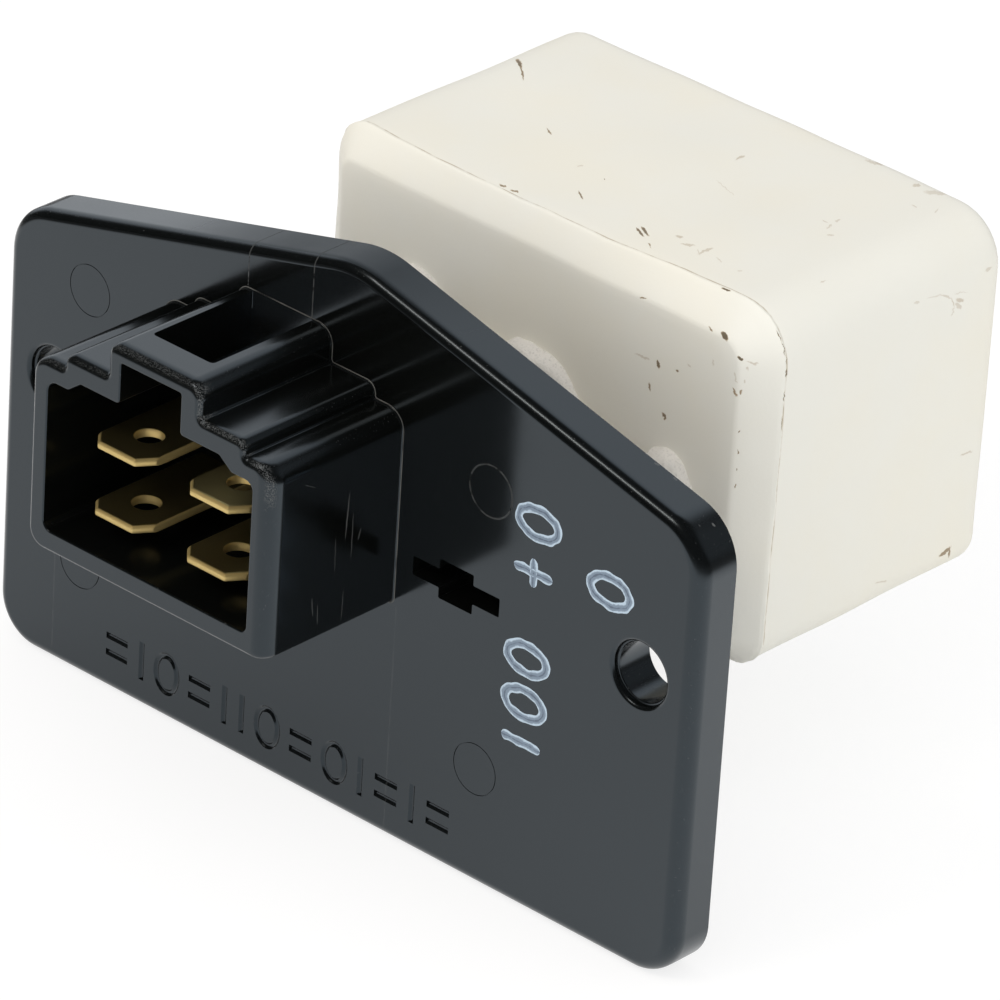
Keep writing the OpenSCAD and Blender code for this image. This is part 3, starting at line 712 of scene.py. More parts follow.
def white_cement(colours):
    """Sealing cement put on by hand: matt white and grainy, with painted shade in its hollows, and
    a pale crust along its rim."""
    material, place, _ = new_material("white_cement")
    lumps_and_shade, grains = noise(place, 0.8, 4, 0.6), noise(place, 5.0, 3, 0.65)
    # Painted shade: the colour is darker where the lumps dip, in the hollows of their bump
    base = blend(ramp(lumps_and_shade, 0.3, 0.6), shade(colours.cement, 0.78), colours.cement)
    crust = ramp(kept_value(place, "rim"), 0.82, 0.95) * ramp(grains, 0.35, 0.5)
    base = blend(crust, base, shade(colours.cement, 1.1))
    grain = bumped(grains, 0.09, 0.6, bumped(lumps_and_shade, 0.25, 0.6))
    return dress(material, Base_Color=base, Roughness=0.75, Normal=grain)


def stamped_ink(colours):
    """Rubber-stamped ink: pale along both sides of a stroke, with a thin darker line between."""
    material, place, _ = new_material("stamped_ink")
    blotches = noise(place, 2.2, 4, 0.65)
    strayed = abs(kept_value(place, "across")) + (blotches - 0.5) * 0.8
    thin, line = shade(colours.ink, (0.40, 0.42, 0.46)), shade(colours.ink, (0.20, 0.22, 0.26))
    base = blend(ramp(strayed, 0.45, 0.75), thin, colours.ink)
    return dress(
        material, Base_Color=blend(ramp(strayed, 0.05, 0.18), line, base),
        Roughness=ramp(blotches, 0.3, 0.7, 0.45, 0.6), Normal=bumped(blotches, 0.02, 0.4),
    )


def drawn_metal(name, tint, rough, lines=(1.0, 1.0, 1.0)):
    """Plain drawn or plated metal with fine lines and a little unevenness."""
    material, place, _ = new_material(name)
    fine = noise(vector("MULTIPLY", place, lines), 3.0, 4, 0.6)
    dulled = ramp(noise(place, 0.6, 3, 0.6), 0.35, 0.75)
    return dress(
        material, Base_Color=blend(dulled, tint, shade(tint, 0.75)), Metallic=1.0,
        Roughness=ramp(fine, 0.3, 0.7, rough - 0.07, rough + 0.07), Normal=bumped(fine, 0.01, 0.3),
    )


def cast_resin(tint):
    """Dark red cast resin, glossy, with soft dimples."""
    material, place, _ = new_material("cast_resin")
    soft = noise(place, 0.9, 2, 0.5)
    base = blend(ramp(soft, 0.3, 0.7), tint, shade(tint, 0.6))
    return dress(material, Base_Color=base, Roughness=0.18, Normal=bumped(soft, 0.08, 0.4), IOR=1.5)


def glass_sleeving(tint):
    """Braided glass sleeving: two sets of fine bands that cross, by the sine of the place, with
    painted shade in the hollows between them.
    """
    material, place, _ = new_material("glass_sleeving")
    x, y, z = split(place)
    turns_per_mm = 9.0
    one, two = ((way * turns_per_mm).math("SINE") for way in (x + y + z, x + y - z))
    weave_and_shade = one * two
    # Painted shade: darker colour where the weave's bump is low, between the bands
    base = blend(ramp(weave_and_shade, -0.6, 0.6), shade(tint, 0.7), tint)
    return dress(material, Base_Color=base, Roughness=0.7, Normal=bumped(weave_and_shade, 0.05, 0.7))


# Flange and socket

# The socket's outer faces, each its wall's thickness away from the room inside
OUTER_LEFT = SOCKET_X - SOCKET_W / 2 - 1.52
OUTER_RIGHT = SOCKET_X + SOCKET_W / 2 + 2.19
OUTER_BOTTOM = SOCKET_FLOOR - 1.88
LEVEL_SIDE = SOCKET_FLOOR + SIDE_ROOM + 1.93
LEVEL_MIDDLE = SOCKET_FLOOR + MIDDLE_ROOM + 2.19
LEVEL_BRIDGE = SOCKET_FLOOR + LATCH_ROOM + 1.46
LATCH_LEFT = SOCKET_X - LATCH_W / 2 - 1.41
LATCH_RIGHT = SOCKET_X + LATCH_W / 2 + 2.17
STEP_LEFT = SOCKET_X - 9.68
STEP_RIGHT = SOCKET_X + 10.5

# Rounding of the mouth's rim along each edge of the socket, and of the plate's front along each of
# its edges, from the bottom edge on, anticlockwise
RIM_ROUNDS = np.array([0.35, 1.6, 0.8, 0.5, 0.7, 0.65, 0.95, 0.5, 0.8, 0.5, 0.8, 0.35])
PLATE_ROUNDS = np.array([1.0, 1.4, 1.0, 1.0, 1.0])

# The unused terminal slot: its middle, half of its bar and of its wider middle, and its skin
SPARE_X, SPARE_Z = 13.15, -0.4
SPARE_BAR = (4.75, 0.85)
SPARE_MIDDLE = (1.85, 1.8)
SPARE_SKIN = 0.8

# Ejector marks on the flange's front, across and up, and which of them has a pale rim
EJECTOR_SPOTS = [(-29.05, 9.8), (-29.05, -16.0), (16.25, 9.6), (16.35, -16.0)]
PALE_EJECTOR = 2
EJECTOR_R = 2.3

# The moulded row below the socket: o is a ring, i a bar and = a pair of dashes
ROW = "=io=iio=oi=i="
ROW_START = -25.6
ROW_Z = -24.0
ROW_HEIGHT = 3.6

# Room between a terminal and its slot, and how far a cutting shape reaches past what it cuts
SLOT_GAP = 0.05
PAST = 1.0


def plate_corners():
    """The flange's five corners: across, up and radius."""
    left, right, low = flange_low[0], flange_high[0], flange_low[2]
    return np.array([
        [left, low, LOWER_CORNER_R], [right, low, LOWER_CORNER_R],
        [right, SHOULDER_Z, SHOULDER_R], [0, PEAK_Z, PEAK_R], [left, SHOULDER_Z, SHOULDER_R],
    ])


def socket_corners():
    """The socket's outer corners, with its two steps and the raised bridge."""
    return np.array([
        [OUTER_LEFT, OUTER_BOTTOM, 1.6], [OUTER_RIGHT, OUTER_BOTTOM, 0.5],
        [OUTER_RIGHT, LEVEL_SIDE, 1.8], [STEP_RIGHT, LEVEL_SIDE, 0.25],
        [STEP_RIGHT, LEVEL_MIDDLE, 0.9], [LATCH_RIGHT, LEVEL_MIDDLE, 0.4],
        [LATCH_RIGHT, LEVEL_BRIDGE, 1.5], [LATCH_LEFT, LEVEL_BRIDGE, 1.0],
        [LATCH_LEFT, LEVEL_MIDDLE, 0.3], [STEP_LEFT, LEVEL_MIDDLE, 0.9],
        [STEP_LEFT, LEVEL_SIDE, 0.25], [OUTER_LEFT, LEVEL_SIDE, 1.7],
    ])


def cavity_corners():
    """The corners of the room inside the socket, with the latch's room at its top."""
    floor, half, middle, latch = SOCKET_FLOOR, SOCKET_W / 2, MIDDLE_W / 2, LATCH_W / 2
    side_z, middle_z, latch_z = (floor + room for room in (SIDE_ROOM, MIDDLE_ROOM, LATCH_ROOM))
    left = 0.1 - half
    corners = [
        [left, floor, 0.9], [half, floor, 0.6], [half, side_z, 0.8],
        [middle + SLOPE_W, side_z, 0.3], [middle, middle_z, 0.3], [latch, middle_z, 0.4],
        [latch, latch_z, 0.2], [-latch, latch_z, 0.2], [-latch, middle_z, 0.4],
        [-middle, middle_z, 0.3], [-middle - SLOPE_W, side_z, 0.3], [left, side_z, 1.0],
    ]
    return np.array(corners) + [SOCKET_X, 0, 0]


def eased_rings(corners, rounds, face_y, steps, least):
    """Rings from the sides to a face at face_y, where edge i is rounded off by its own radius r:
    at depth d below the face it lies r - sqrt(r^2 - (r - d)^2) in."""
    rings = []
    for depth in rounds.max() * (1 - np.sin(quarter(steps))):
        moves = rounds - np.sqrt(rounds**2 - np.clip(rounds - depth, 0, None) ** 2)
        rings.append(ring_at(corners, face_y + depth, moves, least=least))
    return rings


def flared_rings(corners, radius, y, way, steps):
    """Rings round a hollow quarter arc, from its wide end at depth y on, going way along Y: at
    angle a they lie radius (1 - sin a) out and radius (1 - cos a) on."""
    return [
        ring_at(corners, y + way * radius * (1 - np.cos(a)), -radius * (1 - np.sin(a)), steps)
        for a in quarter(5)
    ]


def plate_shape():
    """The plate: its outline from the back face on, and its rounded front edge."""
    corners, back_round = plate_corners(), 0.15
    rings = [ring_at(corners, 0, back_round), ring_at(corners, -back_round)]
    return skin(rings + eased_rings(corners, PLATE_ROUNDS, -PLATE_T, 11, 0.3))


def socket_shape(foot_round):
    """The socket's outside: a hollow rounding where it leaves the plate, its walls and its rim."""
    corners = socket_corners()
    foot = flared_rings(corners, foot_round, -PLATE_T, -1, 14)
    rim = eased_rings(corners, RIM_ROUNDS, MOUTH_Y, 13, 0.45)
    return skin([ring_at(corners, -PLATE_T / 2, -foot_round), *foot, *rim])


def cavity_shape(lip):
    """The socket's room, flared round a quarter arc at its lip."""
    corners = cavity_corners()
    mouth, back = ring_at(corners, MOUTH_Y - PAST, -lip, 8), ring_at(corners, -PLATE_T, steps=8)
    return skin([mouth, *flared_rings(corners, lip, MOUTH_Y, 1, 8), back])


def latch_slot_shape(bridge):
    """The open slot over the latch's room, behind the bridge."""
    left, right = SOCKET_X - LATCH_W / 2, SOCKET_X + LATCH_W / 2
    front, back = MOUTH_Y + bridge, -PLATE_T
    corners = [[left, front, 0.4], [right, front, 0.4], [right, back, 0.1], [left, back, 0.1]]
    outline = rounded(np.array(corners), 6)
    low = SOCKET_FLOOR + MIDDLE_ROOM - 0.01
    return skin([at_z(outline, low), at_z(outline, LEVEL_BRIDGE + 2 * PAST)])


def screw_hole_shape(x):
    """A screw hole: its front mouth is rounded down to a fine step, and its back edge is broken."""
    mouth, mouth_round, broken = 0.6, 0.42, 0.15
    front = [
        (mouth - mouth_round * np.sin(a), mouth_round * (1 - np.cos(a)) - PLATE_T)
        for a in quarter(8)
    ]
    step = [(0.17, 0.55 - PLATE_T), (0.06, 0.58 - PLATE_T), (0, 0.66 - PLATE_T)]
    back = [(0, -broken), (broken, 0), (broken, PAST)]
    profile = np.array([(mouth, -PLATE_T - PAST), *front, *step, *back]) + [HOLE_R, 0]
    return turned(profile, np.array([x, 0, 0]), 1, 96)


def spare_slot_shape():
    """The unused terminal slot: a bar with a wider middle, closed by a thin skin at the back."""
    (w, h), (mw, mh) = SPARE_BAR, SPARE_MIDDLE
    turns = [(-w, -h), (-mw, -h), (-mw, -mh), (mw, -mh), (mw, -h), (w, -h)]
    turns += [(-a, -b) for a, b in turns]
    outline = rounded(np.array([[SPARE_X + a, SPARE_Z + b, 0.12] for a, b in turns]), 3)
    return skin([at_y(outline, -PLATE_T - PAST), at_y(outline, -SPARE_SKIN)])


def strip_slots(width, front):
    """A slot for each terminal, as wide as that stretch of it, from front on out of the back."""
    w, h = width / 2 + SLOT_GAP, BLADE_T / 2 + SLOT_GAP
    ring = np.array([[-w, front], [w, front], [w, PAST], [-w, PAST]])
    return [
        skin([at_z(ring + [x, 0], z - h), at_z(ring + [x, 0], z + h)])
        for x in COLUMNS.values() for z in ROWS.values()
    ]


def fine_groove(half, depth, bottom):
    """Section of a fine groove: half its width at the top, its depth, and half of its bottom."""
    return [(-half, 0.2), (half, 0.2), (bottom, -depth), (-bottom, -depth)]


def ejector_grooves(width):
    """A fine ring groove round each ejector mark."""
    paths = [at_y(arc_path(x, z, EJECTOR_R, EJECTOR_R, 72), -PLATE_T) for x, z in EJECTOR_SPOTS]
    return [swept(path, FRONT, fine_groove(width / 2, 0.08, 0.02), closed=True) for path in paths]


def parting_grooves():
    """Fine lines where the mould's parts met, up the face and over the top edge."""
    shapes, a = [], quarter(8)
    for x, z_low in zip(PARTING_X, (18.5, 17.0)):
        top = PEAK_Z + x * (PEAK_Z - SHOULDER_Z) / flange_high[0]
        bend = np.column_stack([np.full(8, x), -PLATE_T + 1 - np.cos(a), top - 1 + np.sin(a)])
        path = np.vstack([[[x, -PLATE_T, z_low]], bend, [[x, -0.4, top]]])
        up = np.vstack([FRONT, np.column_stack([np.zeros(8), -np.cos(a), np.sin(a)]), [0, 0, 1]])
        shapes.append(swept(path, up, fine_groove(0.05, 0.05, 0.01)))
    return shapes


def row_marks():
    """Strokes of the moulded row: (path, closed), in units of the row's height."""
    ring = [(arc_path(0.36, 0.5, 0.34, 0.48), True)]
    bar = [(np.array([[0.1, 0.0], [0.1, 1.0]]), False)]
    dashes = [(np.array([[0.0, height], [0.7, height]]), False) for height in (0.28, 0.72)]
    signs = {"o": (ring, 1.08), "i": (bar, 0.56), "=": (dashes, 1.06)}
    marks, x = [], 0.0
    for sign in ROW:
        paths, step = signs[sign]
        marks += [(path + [x, 0], closed) for path, closed in paths]
        x += step
    return marks


def row_grooves(width, depth):
    """The moulded row as rounded grooves in the flange's face."""
    half = np.array([[1.3, 1.2], [1.0, 0.0], [0.8, -0.22], [0.57, -0.6], [0.27, -0.93]])
    groove = np.vstack([half * [-1, 1], [[0, -1]], half[::-1]]) * [width / 2, depth]
    return [
        swept(at_y(path * ROW_HEIGHT + [ROW_START, ROW_Z], -PLATE_T), FRONT, groove, closed)
        for path, closed in row_marks()
    ]


def foot_flash_shape(foot_round):
    """The thin ridge that the mould left all round the socket's foot."""
    profile = [(-0.06, -0.02), (-0.03, 0.03), (0.03, 0.03), (0.06, -0.02)]
    return swept(ring_at(socket_corners(), -PLATE_T, -foot_round), FRONT, profile, closed=True)


class RESISTOR_OT_flange(bpy.types.Operator):
    """Moulds the flange with its socket, slots, holes and marks"""

    bl_idname = "resistor.flange"
    bl_label = "Flange and socket"

    def execute(self, context):
        sizes = sizes_mm(context)
        piece = new_object("flange_moulding", plate_shape())
        carve(piece, socket_shape(sizes.foot_round), "UNION")
        carve(piece, cavity_shape(sizes.lip_round))
        carve(piece, latch_slot_shape(sizes.bridge_depth))
        openings = [screw_hole_shape(-HOLE_X), screw_hole_shape(HOLE_X), spare_slot_shape()]
        carve(piece, together(openings + strip_slots(BLADE_W, -PLATE_T - PAST)))
        carve(piece, together(strip_slots(STOP_W, -STOP_L)))
        marks = ejector_grooves(sizes.ring_groove) + parting_grooves()
        carve(piece, together(marks + row_grooves(sizes.mark_width, sizes.mark_depth)))
        moulding = black_moulding(context.scene.resistor_colours)
        finish(piece, moulding, ["flange"])
        ridge = new_object("foot_flash", foot_flash_shape(sizes.foot_round))
        finish(ridge, painted_flash_highlight(), (), 60)
        return {"FINISHED"}


# Terminals

TIP_W = 4.2
TIP_LEFT = 1.1
TIP_RIGHT = 1.5
TIP_Y = -PLATE_T - 13.2
BLADE_HOLE_Y = TIP_Y + 3.8
BLADE_HOLE_R = 1.25


def terminal_corners(x):
    """Outline of a terminal's strip: the tip, cut back further at its right corner, the blade, the
    stop and the leg."""
    half, tip, stop, leg = BLADE_W / 2, TIP_W / 2, STOP_W / 2, LEG_W / 2
    right, left = np.array([
        [(tip, TIP_Y, 0.25), (half, TIP_Y + cut, 0.3), (half, -STOP_L, 0.03), (stop, -STOP_L, 0.05),
         (stop, 0, 0.05), (leg, 0, 0.05), (leg, LEG_END, 0.05)]
        for cut in (TIP_RIGHT, TIP_LEFT)
    ])
    return np.vstack([right, left[::-1] * [-1, 1, 1]]) + [x, 0, 0]


def terminal_shape(x, z, edge):
    """The strip: its outline carried up through its thickness, drawn in round both edges, and more
    at the tip, whose edges are coined to a bevel."""
    corners = terminal_corners(x)
    moves = np.full(len(corners), edge)
    moves[[0, -1, -2]] = 0.4
    half, drop = BLADE_T / 2, 0.15
    levels = [(-half, 1.0), (0.4 * drop - half, 0.5), (drop - half, 0.12), (1.6 * drop - half, 0.0)]
    levels += [(-up, share) for up, share in reversed(levels)]
    return skin([
        at_z(rounded(moved_in(corners, moves * share, least=0.02), 5), z + up)
        for up, share in levels
    ])


def blade_hole_shape(x, z, edge):
    """A blade's punched hole with its edges rounded over."""
    half, part = BLADE_T / 2, 0.3 * edge
    profile = [(edge, -half - 0.5), (edge, -half), (part, part - half), (0, edge - half)]
    profile += [(out, -up) for out, up in reversed(profile)]
    return turned(np.array(profile) + [BLADE_HOLE_R, 0], np.array([x, BLADE_HOLE_Y, z]), 2, 48)


class RESISTOR_OT_terminals(bpy.types.Operator):
    """Stamps the four brass terminals"""

    bl_idname = "resistor.terminals"
    bl_label = "Terminals"

    def execute(self, context):
        brass = stamped_brass(context.scene.resistor_colours)
        edge = sizes_mm(context).blade_round
        for row, z in ROWS.items():
            for column, x in COLUMNS.items():
                piece = new_object(f"blade_{row}_{column}", terminal_shape(x, z, edge))
                carve(piece, blade_hole_shape(x, z, edge))
                finish(piece, brass, [f"terminal_{row}_{column}"], 40)
        return {"FINISHED"}


# Resistor block

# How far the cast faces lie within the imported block, so that their swelling stays in its box
SWELL_ROOM = 0.12
BACK_ROUND = 1.3

# The bevelled front edge: shares of how far it is drawn in, and of its depth
BEVEL_IN = (1.08, 0.97, 0.9, 0.83, 0.6, 0.35, 0.15, 0.06, 0.015, 0.0)
BEVEL_DOWN = (0.0, 0.03, 0.08, 0.14, 0.36, 0.61, 0.82, 0.91, 0.97, 1.0)

# The mould line: distance behind its front, and share of its height
SEAM = ((0.08, 1.0), (0.18, 1.0), (0.27, 0.1), (0.36, -0.25), (0.46, 0.0))


def block_corners():
    """The block's four longitudinal edges: across, up and radius."""
    left, _, low = block_low + SWELL_ROOM
    right, _, high = block_high - SWELL_ROOM
    return np.array([[left, low, 3.2], [right, low, 3.2], [right, high, 4.8], [left, high, 3.7]])


def seam_offset(x, z):
    """How far the mould line strays forward, in millimetres: along the top it sags towards the
    middle of the left half, as exp(-((x + 4) / 17)^4), and elsewhere it wanders a little."""
    on_top = np.clip((z - 17.5) / 2, 0, 1)
    sag = 0.95 * np.exp(-(((x + 4) / 17) ** 4))
    return -on_top * sag + 0.05 * np.sin(1.3 * x) * np.sin(0.9 * z)


def block_shape(depth, inset, seam, swell):
    """A closed surface over two parameters: how far round the block, and how far from the middle of
    the front face over the bevel, the mould line and the sides to the middle of the back. Also each
    point's distance behind the mould line."""
    corners = block_corners()

    def outline(drawn_in):
        return rounded(moved_in(corners, drawn_in), 8, 26)

    side, face, back = rounded(corners, 8, 26), outline(inset * BEVEL_IN[0]), outline(BACK_ROUND)
    x, z = side.T
    seam_y = BLOCK_FRONT + depth + seam_offset(x, z)
    centre = side.mean(axis=0)
    shares = np.linspace(0.06, 1, 16)[:-1]
    rings = [at_y(centre + (face - centre) * share, BLOCK_FRONT) for share in shares]
    for drawn_in, down in zip(BEVEL_IN, BEVEL_DOWN):
        rings.append(at_y(outline(inset * drawn_in), BLOCK_FRONT + (seam_y - BLOCK_FRONT) * down))
    waves = 0.5 * np.sin(0.9 * x + 0.7 * z) * np.sin(2.1 * x - 1.1 * z)
    chips = np.clip(0.55 + waves + 0.3 * np.sin(4.7 * x + 3.9 * z), 0, 1)
    out = unit(side - centre) * (seam * chips)[:, None]
    rings += [at_y(side + height * out, seam_y + behind) for behind, height in SEAM]
    start, end = seam_y + SEAM[-1][0], BLOCK_BACK - BACK_ROUND
    rings += [at_y(side, start + (end - start) * share) for share in np.linspace(0, 1, 30)[1:]]
    for a in quarter(7)[1:]:
        rings.append(at_y(outline(BACK_ROUND * (1 - np.cos(a))), end + BACK_ROUND * np.sin(a)))
    rings += [at_y(centre + (back - centre) * share, BLOCK_BACK) for share in shares[::-1]]
    points, faces = skin(rings)
    behind = points[:, 1] - np.tile(seam_y, len(rings))
    return uneven(points, swell, 16, 5), faces, behind


class RESISTOR_OT_block(bpy.types.Operator):
    """Casts the resistor block"""

    bl_idname = "resistor.block"
    bl_label = "Resistor block"

    def execute(self, context):
        sizes, cement = sizes_mm(context), cream_cement(context.scene.resistor_colours)
        *shape, behind = block_shape(
            sizes.bevel_depth, sizes.bevel_inset, sizes.seam_height, sizes.block_swell
        )
        piece = new_object("cast_block", shape)
        set_values(piece, "seam", behind)
        finish(piece, cement, ["resistor_block"], 60, flat=False)
        return {"FINISHED"}


# Sealing cement: outline points on the block's front face, across and up, anticlockwise
DAB_OUTLINES = {
    "cement_left": [
        (-9.0, 2.0), (-8.9, 7.3), (-10.5, 9.7), (-12.7, 10.8), (-14.8, 10.3), (-16.8, 8.2),
        (-17.2, 3.0), (-16.4, -2.2), (-13.4, -4.2), (-10.2, -3.2),
    ],
    "cement_middle": [
        (6.3, 0.8), (6.0, 4.5), (4.3, 7.0), (1.9, 8.5), (-1.2, 8.6), (-3.2, 7.7), (-5.8, 8.4),
        (-7.2, 6.6), (-6.9, 2.0), (-6.4, -2.6), (-3.0, -4.5), (1.8, -4.3), (5.2, -2.6),
    ],
    "cement_right": [
        (18.6, 0.6), (18.2, 2.9), (16.9, 4.6), (15.2, 5.1), (13.5, 4.3), (12.7, 1.8),
        (13.2, -1.2), (15.4, -2.4), (17.6, -1.6),
    ],
}


def closed_curve(places, count):
    """A smooth closed curve through the places: between two of them it is the Catmull-Rom cubic."""
    p = np.asarray(places, float)
    t = np.linspace(0, len(p), count, endpoint=False)
    i = t.astype(int)
    f = (t - i)[:, None]
    a, b, c, d = (p[(i + k) % len(p)] for k in (-1, 0, 1, 2))
    second, third = 2 * a - 5 * b + 4 * c - d, 3 * b - 3 * c + d - a
    return 0.5 * (2 * b + (c - a) * f + second * f**2 + third * f**3)


def dab_shape(places, out, seed):
    """A low lump: its outline shrinks towards the middle while its height rises as
    (1 - share^3)^0.6 to out, and the surface is pushed about by waves. Also each point's share."""
    outline = closed_curve(places, 96)
    centre = outline.mean(axis=0)
    shares = np.concatenate([[1], np.linspace(1, 0.08, 24)])
    rings = [at_y(outline, BLOCK_FRONT + 0.4)]
    for share in shares[1:]:
        height = out * (1 - share**3) ** 0.6
        rings.append(at_y(centre + (outline - centre) * share, BLOCK_FRONT - height))
    points, faces = skin(rings)
    pushed = points
    for step, (amount, pitch) in enumerate(((0.22, 4.5), (0.1, 1.6), (0.05, 0.7))):
        pushed = uneven(pushed, amount, pitch, seed + step)
    lift = np.clip((BLOCK_FRONT - points[:, 1]) / out, 0, 1)[:, None]
    return points + (pushed - points) * (0.35 + 0.65 * lift), faces, np.repeat(shares, len(outline))


class RESISTOR_OT_cement(bpy.types.Operator):
    """Dabs the sealing cement round the legs"""

    bl_idname = "resistor.cement"
    bl_label = "Sealing cement"

    def execute(self, context):
        cement = white_cement(context.scene.resistor_colours)
        for count, (node, places) in enumerate(DAB_OUTLINES.items()):
            out = BLOCK_FRONT - box_mm(node)[0][1]
            *shape, shares = dab_shape(places, out, 20 + 3 * count)
            piece = new_object(f"{node}_dab", shape)
            set_values(piece, "rim", shares)
            finish(piece, cement, [node], 60, flat=False)
        return {"FINISHED"}


# Thermal fuse and its leads

can_low, can_high = box_mm("fuse_can")
seal_low, seal_high = box_mm("fuse_seal")
case_low, case_high = box_mm("fuse_lead_case")
bent_low, bent_high = box_mm("fuse_lead_bent")
sleeve_low, sleeve_high = box_mm("lead_sleeve")
LEAD_R = (case_high[2] - case_low[2]) / 2
SLEEVE_R = (sleeve_high[2] - sleeve_low[2]) / 2
CAN_R = (can_high[2] - can_low[2]) / 2
FUSE_Y = (can_low[1] + can_high[1]) / 2
FUSE_Z = (can_low[2] + can_high[2]) / 2
BENT_X = bent_high[0] - LEAD_R
BEND_R = 1.5
AXIS_R = 0.02


def bent_path(x_start, y_end):
    """Along X to the bend, round a quarter arc, and along Y into the block."""
    a = quarter(14)
    bend = np.column_stack([BENT_X - BEND_R * (1 - np.sin(a)), FUSE_Y + BEND_R * (1 - np.cos(a))])
    return at_z(np.vstack([[x_start, FUSE_Y], bend, [BENT_X, y_end]]), FUSE_Z)


def can_shape():
    """The fuse's can: a domed left end, a barrel with a rolled groove, and a crimped right end."""
    length = can_high[0] - can_low[0]
    dome = [(CAN_R - 0.5 + 0.5 * np.sin(a), 0.5 * (1 - np.cos(a))) for a in quarter(6)]
    roll = [
        (CAN_R - 0.12 * np.sin(np.pi * s), 0.78 * length + 0.7 * s) for s in np.linspace(0, 1, 7)
    ]
    crimp = [(CAN_R, length - 0.5), (CAN_R - 0.1, length - 0.2), (CAN_R - 0.35, length)]
    profile = [(AXIS_R, 0), (LEAD_R + 0.2, 0), *dome, *roll, *crimp, (AXIS_R, length)]
    return turned(profile, np.array([can_low[0], FUSE_Y, FUSE_Z]), 0)


def seal_shape():
    """The resin seal, a rounded cone that hugs the lead: its radius falls as cos a while its length
    grows as (sin a)^1.3."""
    length = seal_high[0] - seal_low[0]
    thick = CAN_R - LEAD_R - 0.5
    cone = [(LEAD_R + 0.12 + thick * np.cos(a), length * np.sin(a) ** 1.3) for a in quarter(10)]
    profile = [(AXIS_R, 0), *cone, (AXIS_R, length)]
    return turned(profile, np.array([seal_low[0], FUSE_Y, FUSE_Z]), 0)


class RESISTOR_OT_fuse(bpy.types.Operator):
    """Makes the thermal fuse, its leads and its sleeves"""

    bl_idname = "resistor.fuse"
    bl_label = "Thermal fuse"

    def execute(self, context):
        up = (0, 0, 1)
        tinned = drawn_metal("tinned_lead", (0.62, 0.60, 0.56), 0.3)
        can = drawn_metal("fuse_metal", (0.60, 0.58, 0.53), 0.3, (0.2, 3, 3))
        resin, sleeving = cast_resin((0.27, 0.06, 0.035)), glass_sleeving((0.72, 0.68, 0.55))
        case = tube([[case_low[0], FUSE_Y, FUSE_Z], [case_high[0], FUSE_Y, FUSE_Z]], LEAD_R, up)
        bent = tube(bent_path(bent_low[0], bent_high[1]), LEAD_R, up)
        sleeve = tube(bent_path(sleeve_low[0], sleeve_high[1]), SLEEVE_R, up, 28)
        for name, shape, material, slot_name, node in (
            ("fuse_barrel", can_shape(), can, "fuse_metal", "fuse_can"),
            ("fuse_end_seal", seal_shape(), resin, "fuse_resin", "fuse_seal"),
            ("case_lead", case, tinned, "tinned_lead", "fuse_lead_case"),
            ("bent_lead", bent, tinned, "tinned_lead", "fuse_lead_bent"),
            ("bent_sleeve", sleeve, sleeving, "glass_sleeving", "lead_sleeve"),
        ):
            finish(new_object(name, shape), material, [node], 40)
        return {"FINISHED"}


class RESISTOR_OT_cast_in(bpy.types.Operator):
    """Finishes the coils and the crimp sleeve, which are cast into the block"""

    bl_idname = "resistor.cast_in"
    bl_label = "Coils and crimp"

    def execute(self, context):
        wire = drawn_metal("resistance_wire", (0.32, 0.30, 0.28), 0.4)
        crimp = drawn_metal("crimp_metal", (0.55, 0.55, 0.53), 0.35)
        cast_in = {"coil_upper": wire, "coil_middle": wire, "coil_lower": wire}
        for name, material in {**cast_in, "crimp_sleeve": crimp}.items():
            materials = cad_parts[name].data.materials
            materials.clear()
            materials.append(material)
        return {"FINISHED"}


# Stamped marks: plain rings, bars and a cross, turned a quarter clockwise. Each is its kind and its
# middle, across and up
INK_MARKS = [
    ("ring", 21.45, 8.8), ("cross", 21.25, 4.3), ("ring", 21.15, -3.7), ("ring", 21.15, -7.8),
    ("bar", 21.05, -11.4), ("ring", 29.35, 6.0),
]
INK_HALF_LENGTH = 2.1
INK_HALF_WIDTH = 1.25

# Section of a stroke of ink, in half widths and heights: the ink is pushed out to both sides
INK_SIDES = np.array([-1.0, -0.9, -0.55, -0.2, 0.0, 0.2, 0.55, 0.9, 1.0])
INK_UPS = np.array([-0.5, 0.7, 1.0, 0.85, 0.8, 0.85, 1.0, 0.7, -0.5])


def ink_paths(kind, x, z):
    """Paths of one mark, its length along X: (points across and up, closed)."""
    long, wide = INK_HALF_LENGTH, INK_HALF_WIDTH
    if kind == "ring":
        return [(arc_path(x, z, long, wide, 96), True)]
    paths = [(np.linspace([x - long, z], [x + long, z], 32), False)]
    if kind == "cross":
        paths.append((np.linspace([x, z - wide], [x, z + wide], 20), False))
    return paths


class RESISTOR_OT_ink(bpy.types.Operator):
    """Stamps the plain ink marks on the flange"""

    bl_idname = "resistor.ink"
    bl_label = "Ink marks"

    def execute(self, context):
        sizes = sizes_mm(context)
        half = sizes.ink_width / 2
        profile = np.column_stack([INK_SIDES * half, INK_UPS * sizes.ink_height])
        shapes, across = [], []
        for path, closed in [found for mark in INK_MARKS for found in ink_paths(*mark)]:
            run = np.append(0, np.linalg.norm(np.diff(path, axis=0), axis=1).cumsum())
            from_end = np.minimum(run, run[-1] - run) / half
            widths = 1.0 if closed else np.sqrt(1 - np.clip(0.95 - from_end, 0, 1) ** 2)
            shapes.append(swept(at_y(path, -PLATE_T), FRONT, profile, closed, widths))
            across.append(np.tile(INK_SIDES, len(path)))
        points, faces = together(shapes)
        pushed = uneven(points, 0.045, 0.9, 8)
        pushed[:, 1] = points[:, 1]
        piece = new_object("stamped_marks", (pushed, faces))
        set_values(piece, "across", np.concatenate(across))
        finish(piece, stamped_ink(context.scene.resistor_colours), (), 60)
        return {"FINISHED"}


# Stage

